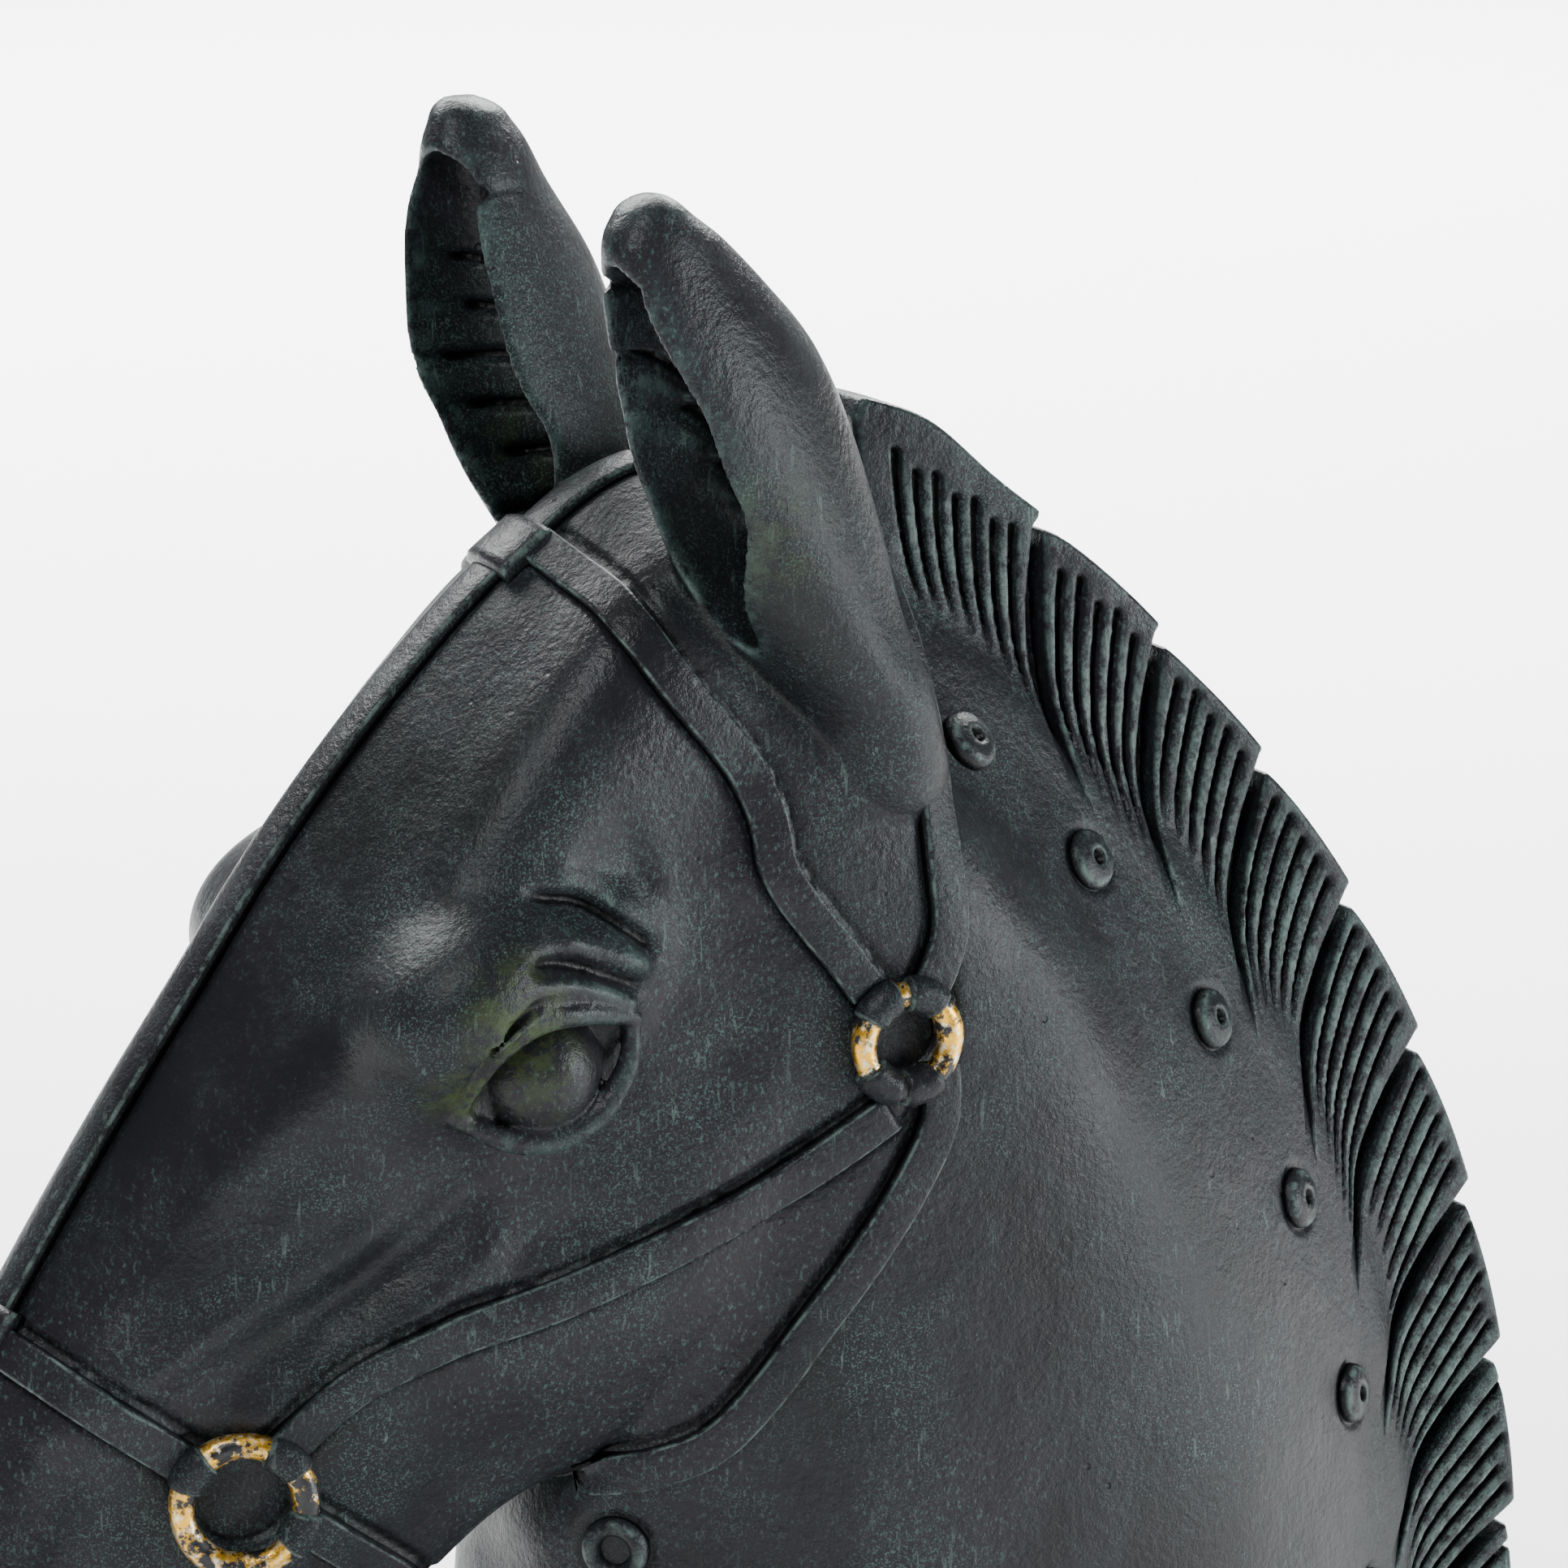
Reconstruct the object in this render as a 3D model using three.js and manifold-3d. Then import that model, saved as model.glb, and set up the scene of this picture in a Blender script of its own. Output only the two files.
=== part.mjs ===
// Horse head and arched neck with bridle, cast as one piece and cut flat below.
// Millimetres, +Z up, nose along -X, left side towards -Y, origin in the middle of the flat underside.
import * as THREE from "three";
import { mergeVertices } from "three/addons/utils/BufferGeometryUtils.js";
import Module from "manifold-3d";

// Driving sizes. The tables of the free form are written for a head of TABLE_HEAD and grow with it.
const HEAD_LENGTH = 310;
const TABLE_HEAD = 310;
const CREST_RADIUS = 290;
const NECK_DROP = 65;
const MANE_THICKNESS = 17;
const MANE_HEIGHT = 30;
const TUFT_PITCH = 36;
const FIRST_TUFT = 49;
const TUFT_GAP = 3.2;
const GROOVE_WIDTH = 2.6;
const GROOVE_DEPTH = 1.9;
const STRAP_WIDTH = 7.5;
const STRAP_THICKNESS = 1.8;
const STRAP_ROOT = 3.5;
const FACE_STRAP_WIDTH = 12;
const UPPER_RING_DIAMETER = 23;
const LOWER_RING_DIAMETER = 28;
const RING_BAR = 5;
const STUD_DIAMETER = 12;
const STUD_HEIGHT = 3;
const STUD_PITCH = 52.5;
const EYELET_DIAMETER = 16;

// Facets
const HEAD_RIB_STEPS = 18;
const HEAD_LENGTH_STEPS = 18;
const NECK_RIB_STEPS = 18;
const NECK_LENGTH_STEPS = 10;
const LID_SIDES = 4;
const RING_SIDES = 12;
const BAR_SIDES = 4;
const STUD_SIDES = 6;
const EAR_SIDES = 10;

const FORM = HEAD_LENGTH / TABLE_HEAD;
const X_SHIFT = -55 * FORM;
const CREST = CREST_RADIUS * FORM;

// The head's own axes: t runs from poll to lips, n from jaw to face, and y is the part's Y.
const HEAD_TILT = THREE.MathUtils.degToRad(52.7);
const POLL_RISE = 185;
const HEAD_ORIGIN = new THREE.Vector3(X_SHIFT, 0, (NECK_DROP + POLL_RISE) * FORM);
const ALONG_HEAD = new THREE.Vector3(-Math.cos(HEAD_TILT), 0, -Math.sin(HEAD_TILT));
const TO_FACE = new THREE.Vector3(-Math.sin(HEAD_TILT), 0, Math.cos(HEAD_TILT));

function headPoint(t, n, y) {
  const point = HEAD_ORIGIN.clone();
  point.addScaledVector(ALONG_HEAD, t * FORM);
  point.addScaledVector(TO_FACE, n * FORM);
  point.y = y * FORM;
  return point;
}

// The neck's own axes: turns around the centre of the crest's arc, then straight down below it.
const CREST_CENTRE = new THREE.Vector3(X_SHIFT - 124 * FORM, 0, NECK_DROP * FORM);

// run is the length along the crest, 0 where its arc ends, negative below, and out is the radius.
function crestPoint(run, out, y) {
  const turn = Math.max(run, 0) / CREST_RADIUS;
  const x = CREST_CENTRE.x + out * FORM * Math.cos(turn);
  const z = CREST_CENTRE.z + out * FORM * Math.sin(turn) + Math.min(run, 0) * FORM;
  return new THREE.Vector3(x, y * FORM, z);
}

const mix = THREE.MathUtils.lerp;
const wasm = await Module();
wasm.setup();

function solid(geometry) {
  const bare = new THREE.BufferGeometry();
  bare.setAttribute("position", geometry.getAttribute("position").clone());
  if (geometry.index) {
    bare.setIndex(geometry.index.clone());
  }
  const merged = mergeVertices(bare, 1e-4);
  const kept = [];
  const index = merged.index.array;
  for (let i = 0; i < index.length; i += 3) {
    const [a, b, c] = [index[i], index[i + 1], index[i + 2]];
    if (a !== b && b !== c && a !== c) {
      kept.push(a, b, c);
    }
  }
  const mesh = new wasm.Mesh({
    numProp: 3,
    vertProperties: new Float32Array(merged.getAttribute("position").array),
    triVerts: new Uint32Array(kept),
  });
  const made = new wasm.Manifold(mesh);
  return made;
}

// A closed skin through rings of points, with a fan over each end. It turns itself outward.
function skin(rings) {
  const count = rings[0].length;
  const positions = [];
  const index = [];
  for (const ring of rings) {
    for (const p of ring) {
      positions.push(p.x, p.y, p.z);
    }
  }
  for (let r = 0; r + 1 < rings.length; r += 1) {
    for (let i = 0; i < count; i += 1) {
      const a = r * count + i;
      const b = r * count + (i + 1) % count;
      index.push(a, b, b + count, a, b + count, a + count);
    }
  }
  for (const [r, flip] of [[0, true], [rings.length - 1, false]]) {
    const centre = new THREE.Vector3();
    rings[r].forEach((p) => centre.addScaledVector(p, 1 / count));
    const hub = positions.length / 3;
    positions.push(centre.x, centre.y, centre.z);
    for (let i = 0; i < count; i += 1) {
      const a = r * count + i;
      const b = r * count + (i + 1) % count;
      index.push(...(flip ? [hub, b, a] : [hub, a, b]));
    }
  }
  const geometry = new THREE.BufferGeometry();
  geometry.setAttribute("position", new THREE.Float32BufferAttribute(positions, 3));
  geometry.setIndex(index);
  return signedVolume(geometry) < 0 ? solid(flipped(geometry)) : solid(geometry);
}

function signedVolume(geometry) {
  const position = geometry.getAttribute("position");
  const index = geometry.index.array;
  const [a, b, c] = [new THREE.Vector3(), new THREE.Vector3(), new THREE.Vector3()];
  let total = 0;
  for (let i = 0; i < index.length; i += 3) {
    a.fromBufferAttribute(position, index[i]);
    b.fromBufferAttribute(position, index[i + 1]);
    c.fromBufferAttribute(position, index[i + 2]);
    total += a.dot(b.cross(c)) / 6;
  }
  return total;
}

function flipped(geometry) {
  const index = geometry.index.array;
  for (let i = 0; i < index.length; i += 3) {
    [index[i + 1], index[i + 2]] = [index[i + 2], index[i + 1]];
  }
  return geometry;
}

// A smooth skin through a few ribs, each a closed ring of control points.
function skinThroughRibs(ribs, roundSteps, longSteps) {
  const rings = ribs.map((rib) => {
    const curve = new THREE.CatmullRomCurve3(rib, true, "centripetal");
    return Array.from({ length: roundSteps }, (_, i) => curve.getPoint(i / roundSteps));
  });
  const strakes = rings[0].map((_, i) => {
    return new THREE.CatmullRomCurve3(rings.map((ring) => ring[i]), false, "centripetal");
  });
  const smooth = [];
  for (let k = 0; k <= longSteps; k += 1) {
    smooth.push(strakes.map((strake) => strake.getPoint(k / longSteps)));
  }
  return skin(smooth);
}

// Head. Each rib: t, face, brow half-width and level, cheek half-width and level,
// jaw half-width, underside, and how full the side is between brow and cheek.
const HEAD_RIBS = [
  [-48, 50, 22, 32, 24, 4, 18, -18, 1.0],
  [-30, 67, 30, 46, 34, 8, 28, -32, 1.0],
  [-5, 76.5, 36, 56, 42, 4, 37, -41, 0.98],
  [25, 80.5, 41, 57, 44, -2, 40, -46, 0.95],
  [50, 82, 44, 55, 45, -8, 41, -48, 0.91],
  [72, 82, 45, 53, 45, -10, 40, -48, 0.9],
  [95, 81, 40, 55, 44, -8, 38, -48, 0.91],
  [118, 80, 33, 57, 41, 6, 33, -41, 0.93],
  [140, 79, 28, 58, 36, 18, 27, -26, 0.93],
  [168, 77.5, 24, 57, 29.5, 25, 22, -19, 0.95],
  [195, 75, 21, 54, 25, 26, 19, -14, 0.97],
  [218, 74, 24, 52, 26, 22, 19, -12, 0.98],
  [236, 71, 26, 47, 26, 14, 20, -14, 1.0],
  [250, 62, 22, 41, 22, 10, 16, -9, 1.0],
  [260, 46, 11, 34, 11, 15, 8, 5, 1.0],
];

function headRib([t, face, browWide, brow, cheekWide, cheek, jawWide, under, full]) {
  const half = [
    [browWide * 0.55, face - (face - brow) * 0.16],
    [browWide * 0.88, mix(face, brow, 0.55)],
    [browWide, brow],
    [mix(browWide, cheekWide, 0.5) * full, mix(brow, cheek, 0.5)],
    [cheekWide, cheek],
    [mix(cheekWide, jawWide, 0.6), mix(cheek, under, 0.55)],
    [jawWide * 0.9, mix(cheek, under, 0.92)],
    [jawWide * 0.45, under],
  ];
  const left = half.map(([y, n]) => headPoint(t, n, -y));
  const right = half.map(([y, n]) => headPoint(t, n, y)).reverse();
  const top = headPoint(t, face, 0);
  const bottom = headPoint(t, under + 5, 0);
  return [top, ...left, bottom, ...right];
}

// What runs on below the underside before it is cut flat.
const TRIM = 8;

// Neck. Each rib: run along the crest, front radius and half-width, widest radius and half-width.
const NECK_RIBS = [
  [345, 196, 14, 222, 30],
  [318, 176, 28, 214, 40],
  [275, 146, 34, 204, 45],
  [225, 92, 34, 190, 47],
  [160, 72, 35, 172, 49],
  [80, 62, 37, 160, 51],
  [0, 59, 39, 153, 52],
  [-35, 58, 41, 151, 54],
  [-NECK_DROP - TRIM, 56, 44, 149, 57],
];
const NECK_TOP = CREST_RADIUS - MANE_HEIGHT;

function neckRib([run, front, frontWide, middle, wide]) {
  const half = [
    [front + 2, frontWide * 0.55],
    [front + 14, frontWide * 0.95],
    [mix(front, middle, 0.5), mix(frontWide, wide, 0.75)],
    [middle, wide],
    [mix(middle, NECK_TOP, 0.45), wide * 0.9],
    [NECK_TOP - 22, 28],
    [NECK_TOP - 10, 19.5],
    [NECK_TOP + 1, 12],
  ];
  const left = half.map(([out, y]) => crestPoint(run, out, -y));
  const right = half.map(([out, y]) => crestPoint(run, out, y)).reverse();
  return [crestPoint(run, front, 0), ...left, crestPoint(run, NECK_TOP + 4, 0), ...right];
}

// Leaves out repeated points and those on a straight line, which the triangulation would skip.
function cornersOnly(points) {
  const apart = points.filter((p, i) => p.distanceTo(points[(i + 1) % points.length]) > 0.05);
  return apart.filter((p, i) => {
    const before = p.clone().sub(apart[(i + apart.length - 1) % apart.length]);
    const after = apart[(i + 1) % apart.length].clone().sub(p);
    return Math.abs(before.cross(after)) > 1e-3 * before.length() * after.length();
  });
}

// A plate standing on the median plane: an outline of run and out, and half its thickness.
function standingPlate(outline, halfThickness) {
  const flat = outline.map(([run, out]) => crestPoint(run, out, 0));
  const shape = new THREE.Shape(cornersOnly(flat.map((p) => new THREE.Vector2(p.x, p.z))));
  const plate = new THREE.ExtrudeGeometry(shape, { depth: 2 * halfThickness * FORM, bevelEnabled: false });
  plate.rotateX(Math.PI / 2);
  plate.translate(0, halfThickness * FORM, 0);
  return solid(plate);
}

// Mane
const MANE_START = 315;
const MANE_BURIED = 14;
const TUFT_GROOVES = 3;
const CORE_INSET = 3;
const TOP_LIFT = 2.2;
const LIFT_FROM = 220;
const LIFT_OVER = 40;
const FORELOCK_CORNER = [2, 2.6];
const FORELOCK_BROW = [-14, 5.5];

// How far a notch or groove has slid down the crest at a depth below the mane's edge.
function slide(depth) {
  return 0.66 * depth + 17 * (depth / 36) ** 3;
}

function tuft(first, length) {
  const depths = [0, 14, MANE_HEIGHT, MANE_HEIGHT + MANE_BURIED - 5];
  const lift = TOP_LIFT * THREE.MathUtils.clamp((first - length - LIFT_FROM) / LIFT_OVER, 0, 1);
  const rise = 0.8 + lift;
  const start = depths.map((d) => [first - slide(d), CREST_RADIUS - d]);
  const end = depths.map((d) => [first - length - slide(d), CREST_RADIUS - d + (d === 0 ? rise : 0)]);
  start[0] = [first - 4, CREST_RADIUS - 1.5 + lift];
  let brow = [first - length * 0.45, CREST_RADIUS + rise];
  if (first === MANE_START) {
    start[0] = [first + FORELOCK_CORNER[0], CREST_RADIUS + FORELOCK_CORNER[1]];
    brow = [first + FORELOCK_BROW[0], CREST_RADIUS + FORELOCK_BROW[1]];
  }
  const outline = [...start.reverse(), brow, ...end];
  return outline;
}

function maneGroove(first, depthFrom, depthTo, side) {
  const rings = [];
  const steps = 1;
  for (let k = 0; k <= steps; k += 1) {
    const share = k / steps;
    const depth = mix(depthFrom, depthTo, share);
    const fade = Math.sin(Math.PI * Math.min(0.999, Math.max(0.12, 1 - share)) / 2);
    const wide = GROOVE_WIDTH * fade / 2;
    const cut = GROOVE_DEPTH * fade;
    const face = maneFace(depth);
    const run = first - slide(depth);
    rings.push([
      crestPoint(run - wide, CREST_RADIUS - depth, side * (face + 1.2)),
      crestPoint(run, CREST_RADIUS - depth, side * (face - cut)),
      crestPoint(run + wide, CREST_RADIUS - depth, side * (face + 1.2)),
    ]);
  }
  return skin(rings);
}

// Half-thickness of the mane, or of the neck below it, at a depth below the mane's edge.
function maneFace(depth) {
  return Math.max(MANE_THICKNESS / 2, 12 + 0.75 * (depth - MANE_HEIGHT));
}

function buildMane() {
  const joins = [];
  const cuts = [];
  const core = [];
  const coreSteps = 12;
  for (let k = 0; k <= coreSteps; k += 1) {
    core.push([mix(MANE_START - 10, -NECK_DROP - TRIM, k / coreSteps), CREST_RADIUS - 9]);
  }
  for (let k = coreSteps; k >= 0; k -= 1) {
    core.push([mix(MANE_START - 26, -NECK_DROP - TRIM, k / coreSteps), CREST_RADIUS - MANE_HEIGHT - MANE_BURIED]);
  }
  joins.push(standingPlate(core, MANE_THICKNESS / 2 - CORE_INSET));
  let first = MANE_START;
  while (first > -NECK_DROP) {
    const pitch = first === MANE_START ? FIRST_TUFT : TUFT_PITCH;
    const length = pitch - TUFT_GAP;
    joins.push(standingPlate(tuft(first, length), MANE_THICKNESS / 2));
    for (const side of [-1, 1]) {
      for (let k = 1; k <= TUFT_GROOVES; k += 1) {
        const from = first - length * k / (TUFT_GROOVES + 1);
        const reach = MANE_HEIGHT - 7 + 6 * Math.sin(k * 2.4);
        if (from > -NECK_DROP) {
          cuts.push(maneGroove(from, -3, reach, side));
        }
      }
    }
    first -= pitch;
  }
  return { joins, cuts };
}

// Ears. Each rib of the near ear: height, middle in x, half-depth along x, half-width along y.
const EAR_RIBS = [
  [-3, 4, 7, 8],
  [5, 2.8, 12.5, 14],
  [22, -3, 14.5, 17.5],
  [42, -14.5, 20, 17.5],
  [58, -20.3, 22.6, 17],
  [72, -25, 23.2, 16],
  [90, -31.2, 19.4, 13.5],
  [108, -39.7, 11.6, 9.5],
  [117, -42.3, 8, 7],
  [121.5, -42.6, 3.4, 3.4],
];
const EAR_FOOT = 30.5;
const EAR_SPREAD = 0.09;
const EAR_TOP = 121.5;
const EAR_HOLLOW_BOTTOM = 36;
const EAR_GOUGES = 6;
const NEAR_EAR = { side: -1, shift: 0, lift: 0, turn: THREE.MathUtils.degToRad(-20) };
const FAR_EAR = { side: 1, shift: -8.5, lift: 8, turn: THREE.MathUtils.degToRad(28) };

// An ear's ring at a rib. The hollow's ring is narrower and lies further forward.
function earRing([height, middle, deep, wide], pose, form) {
  const outward = EAR_FOOT + EAR_SPREAD * height;
  return Array.from({ length: EAR_SIDES }, (_, i) => {
    const a = (i / EAR_SIDES) * 2 * Math.PI;
    const u = -Math.cos(a) * deep * form.deep - form.forward * deep;
    const v = Math.sin(a) * wide * form.wide;
    const x = middle + pose.shift + u * Math.cos(pose.turn) + v * Math.sin(pose.turn);
    const y = outward + u * Math.sin(pose.turn) - v * Math.cos(pose.turn);
    const z = height * (1 + pose.lift / EAR_TOP);
    return new THREE.Vector3(X_SHIFT + x * FORM, pose.side * y * FORM, HEAD_ORIGIN.z + z * FORM);
  });
}

const EAR_SHELL = { deep: 1, wide: 1, forward: 0 };
const EAR_HOLLOW = { deep: 0.7, wide: 0.74, forward: 0.62 };

function earRibAt(height) {
  const above = EAR_RIBS.findIndex(([level]) => level > height);
  const [lower, upper] = [EAR_RIBS[above - 1], EAR_RIBS[above]];
  const share = (height - lower[0]) / (upper[0] - lower[0]);
  return upper.map((value, i) => mix(lower[i], value, share));
}

function ear(pose) {
  let shell = skin(EAR_RIBS.map((rib) => earRing(rib, pose, EAR_SHELL)));
  const inner = EAR_RIBS.filter(([height, , deep]) => height > EAR_HOLLOW_BOTTOM && deep > 9);
  shell = shell.subtract(skin(inner.map((rib) => earRing(rib, pose, EAR_HOLLOW))));
  for (let k = 0; k < EAR_GOUGES; k += 1) {
    const rib = earRibAt(mix(EAR_HOLLOW_BOTTOM + 12, EAR_TOP - 20, k / (EAR_GOUGES - 1)));
    const ring = earRing(rib, pose, EAR_HOLLOW);
    const back = ring[EAR_SIDES / 2];
    const gouge = new THREE.OctahedronGeometry(1);
    gouge.scale(rib[2] * 0.3 * FORM, rib[3] * 0.75 * FORM, 2.4 * FORM);
    gouge.rotateZ(pose.side * -pose.turn);
    gouge.translate(back.x, back.y, back.z);
    shell = shell.subtract(solid(gouge));
  }
  return shell;
}

// Straps lie on the skin: a ray finds the skin under each point of the route.
function tracer(body) {
  const got = body.getMesh();
  const geometry = new THREE.BufferGeometry();
  geometry.setAttribute("position", new THREE.BufferAttribute(got.vertProperties, 3));
  geometry.setIndex(new THREE.BufferAttribute(got.triVerts, 1));
  const surface = new THREE.Mesh(geometry, new THREE.MeshBasicMaterial({ side: THREE.DoubleSide }));
  const raycaster = new THREE.Raycaster();
  // A ray that slips between two faces is cast again from close by.
  return (from, direction) => {
    let hit;
    for (let k = 0; !hit && k < RAY_TRIES; k += 1) {
      const start = from.clone();
      start.z += k * RAY_NUDGE;
      raycaster.set(start, direction.clone().normalize());
      hit = raycaster.intersectObject(surface)[0];
    }
    return hit && { point: hit.point, normal: hit.face.normal.clone() };
  };
}

const RAY_TRIES = 6;
const RAY_NUDGE = 0.07;
const CAST_FROM = 150;
const CAST_UNDER_JAW = 56;
const UNDER_JAW_FROM = 110;
const AXIS_LEVEL = 22;

function fromSide(t, n, side) {
  return { from: headPoint(t, n, side * CAST_FROM), direction: new THREE.Vector3(0, -side * CAST_FROM, 0) };
}

// angle is 0 over the face, 90 at the side and 180 under the jaw.
function aroundHead(t, angle, side) {
  const a = THREE.MathUtils.degToRad(angle);
  const reach = angle > UNDER_JAW_FROM ? CAST_UNDER_JAW : CAST_FROM;
  const from = headPoint(t, AXIS_LEVEL + reach * Math.cos(a), side * reach * Math.sin(a));
  return { from, direction: headPoint(t, AXIS_LEVEL, 0).sub(from) };
}

function band(trace, casts, width, thickness) {
  const starts = new THREE.CatmullRomCurve3(casts.map((cast) => cast.from), false, "centripetal");
  const ways = new THREE.CatmullRomCurve3(casts.map((cast) => cast.direction), false, "centripetal");
  const count = Math.round((casts.length - 1) * 1.3);
  const hits = [];
  for (let k = 0; k <= count; k += 1) {
    hits.push(trace(starts.getPoint(k / count), ways.getPoint(k / count)));
  }
  const found = hits.filter(Boolean);
  const middle = new THREE.CatmullRomCurve3(found.map((hit) => hit.point), false, "centripetal");
  const normals = new THREE.CatmullRomCurve3(found.map((hit) => hit.normal), false, "centripetal");
  const steps = found.length - 1;
  const rings = [];
  for (let k = 0; k <= steps; k += 1) {
    const point = middle.getPoint(k / steps);
    const along = middle.getTangent(k / steps);
    const up = normals.getPoint(k / steps).normalize();
    const across = new THREE.Vector3().crossVectors(along, up).normalize();
    up.crossVectors(across, along).normalize();
    const section = [[-0.5, -STRAP_ROOT], [-0.44, thickness], [0.44, thickness], [0.5, -STRAP_ROOT]];
    rings.push(section.map(([a, b]) => {
      return point.clone().addScaledVector(across, a * width * FORM).addScaledVector(up, b * FORM);
    }));
  }
  return skin(rings);
}

// Places a shape made around +Z onto the skin, facing out.
function seated(trace, cast, geometry) {
  const hit = trace(cast.from, cast.direction);
  const turn = new THREE.Quaternion().setFromUnitVectors(new THREE.Vector3(0, 0, 1), hit.normal);
  geometry.applyQuaternion(turn);
  geometry.translate(hit.point.x, hit.point.y, hit.point.z);
  return solid(geometry);
}

const NOSEBAND_AT = 168.5;
const CHIN_STRAP_AT = 166;
const UPPER_RING = { t: 30.7, n: -24.8 };
const LOWER_RING = { t: 168.7, n: 29.8 };

function ringOnSkin(trace, place, diameter, side) {
  const bar = RING_BAR / 2;
  const torus = new THREE.TorusGeometry((diameter / 2 - bar) * FORM, bar * FORM, BAR_SIDES, RING_SIDES);
  torus.translate(0, 0, STRAP_THICKNESS * FORM);
  const cast = fromSide(place.t, place.n, side);
  const loop = seated(trace, cast, torus);
  const disc = new THREE.CylinderGeometry((diameter / 2 - bar) * FORM, (diameter / 2 - bar) * FORM, 6, RING_SIDES);
  disc.rotateX(Math.PI / 2);
  disc.translate(0, 0, -2.4 * FORM);
  return [loop, seated(trace, cast, disc)];
}

function keeper(width, length, height) {
  const box = new THREE.BoxGeometry(width * FORM, length * FORM, (height + 4) * FORM);
  box.translate(0, 0, (height - 4) / 2 * FORM);
  return box;
}

function stud(diameter, height, dimple) {
  const r = diameter / 2 * FORM;
  const h = height * FORM;
  const profile = [[0, -2.5], [r, -2.5], [r * 0.78, h], [r * dimple, h * 0.95], [0, h * 0.3]];
  const lathe = new THREE.LatheGeometry(profile.map(([x, y]) => new THREE.Vector2(x, y)), STUD_SIDES);
  lathe.rotateX(Math.PI / 2);
  return lathe;
}

function buildBridle(trace) {
  const pieces = [];
  const faceLine = [-34, -20, -6, 15, 45, 75, 105, 135, 168];
  pieces.push(band(trace, faceLine.map((t) => aroundHead(t, 0, 1)), FACE_STRAP_WIDTH, STRAP_THICKNESS));
  pieces.push(seated(trace, aroundHead(-6, 0, 1), keeper(FACE_STRAP_WIDTH + 4, 12, STRAP_THICKNESS + 1.8)));
  pieces.push(seated(trace, aroundHead(168, 0, 1), keeper(FACE_STRAP_WIDTH + 4, 12, STRAP_THICKNESS + 1.8)));
  for (const side of [-1, 1]) {
    const at = (t, n) => fromSide(t, n, side);
    const around = (t, angle) => aroundHead(t, angle, side);
    const brow = [around(-8.8, 5), around(-7.3, 19), around(-6, 31), around(-3, 41), around(0.7, 52)];
    brow.push(around(3.5, 65), around(5.5, 75), around(11.5, 90), around(18, 99), around(21, 108));
    brow.push(at(24.5, -4.7), at(27, -13));
    const crown = [at(-46, 34), at(-38, 22), at(-27.5, 10.7), at(-14, -2.4), at(-2, -12.4), at(10.5, -22)];
    crown.push(at(20, -24));
    const cheek = [at(43, -31), at(64, -22), at(84, -10), at(106, 4.4), at(125, 19), at(139, 27), at(155, 30)];
    const throat = [at(30, -34), at(38, -40), at(53, -43), at(67, -43.5), at(86, -43), at(100, -43)];
    throat.push(at(114, -41), at(124, -35), at(132, -29));
    const nose = [0, 22, 45, 65, 80].map((angle) => around(NOSEBAND_AT, angle));
    const chin = [100, 125, 150, 180].map((angle) => around(CHIN_STRAP_AT, angle));
    for (const route of [brow, crown, cheek, throat, nose, chin]) {
      pieces.push(band(trace, route, STRAP_WIDTH, STRAP_THICKNESS));
    }
    pieces.push(...ringOnSkin(trace, UPPER_RING, UPPER_RING_DIAMETER, side));
    pieces.push(...ringOnSkin(trace, LOWER_RING, LOWER_RING_DIAMETER, side));
  }
  return pieces;
}

const STUD_OUT = CREST_RADIUS - 44;
const FIRST_STUD = 272;

function buildStuds(trace) {
  const pieces = [];
  for (const side of [-1, 1]) {
    const direction = new THREE.Vector3(0, -side, 0);
    for (let run = FIRST_STUD; run > -NECK_DROP + STUD_DIAMETER; run -= STUD_PITCH) {
      const from = crestPoint(run, STUD_OUT, side * CAST_FROM);
      pieces.push(seated(trace, { from, direction }, stud(STUD_DIAMETER, STUD_HEIGHT, 0.22)));
    }
    const eyeletAt = crestPoint(20, 68, side * CAST_FROM);
    pieces.push(seated(trace, { from: eyeletAt, direction }, stud(EYELET_DIAMETER, STUD_HEIGHT, 0.42)));
  }
  const front = [20, 0, -20, -40, -NECK_DROP - 2].map((run) => {
    return { from: crestPoint(run, 30, 0), direction: new THREE.Vector3(1, 0, 0) };
  });
  pieces.push(band(trace, front, STRAP_WIDTH, STRAP_THICKNESS));
  return pieces;
}

// Eyes. The lids are arcs around the eyeball, from the inner to the outer corner.
const EYE = { t: 74, n: 34.5, y: 38, radius: 11.5, slant: 0.52 };
const LID_REACH = 17.5;

function lid(side, rise, radius, proud) {
  const points = [];
  for (let k = 0; k <= 4; k += 1) {
    const a = Math.PI * k / 4;
    const along = LID_REACH * Math.cos(a);
    const across = rise * Math.sin(a);
    const t = EYE.t + along * Math.cos(EYE.slant) - across * Math.sin(EYE.slant);
    const n = EYE.n + along * Math.sin(EYE.slant) + across * Math.cos(EYE.slant);
    points.push(headPoint(t, n, side * (EYE.y + 7 + proud * Math.sin(a))));
  }
  return tube(points, radius, LID_SIDES);
}

function ball(t, n, y, radii, turn, segments) {
  const sphere = new THREE.SphereGeometry(1, segments, Math.round(segments * 0.7));
  sphere.scale(radii[0] * FORM, radii[1] * FORM, radii[2] * FORM);
  sphere.rotateY(-HEAD_TILT + turn);
  const place = headPoint(t, n, y);
  sphere.translate(place.x, place.y, place.z);
  return solid(sphere);
}

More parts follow.
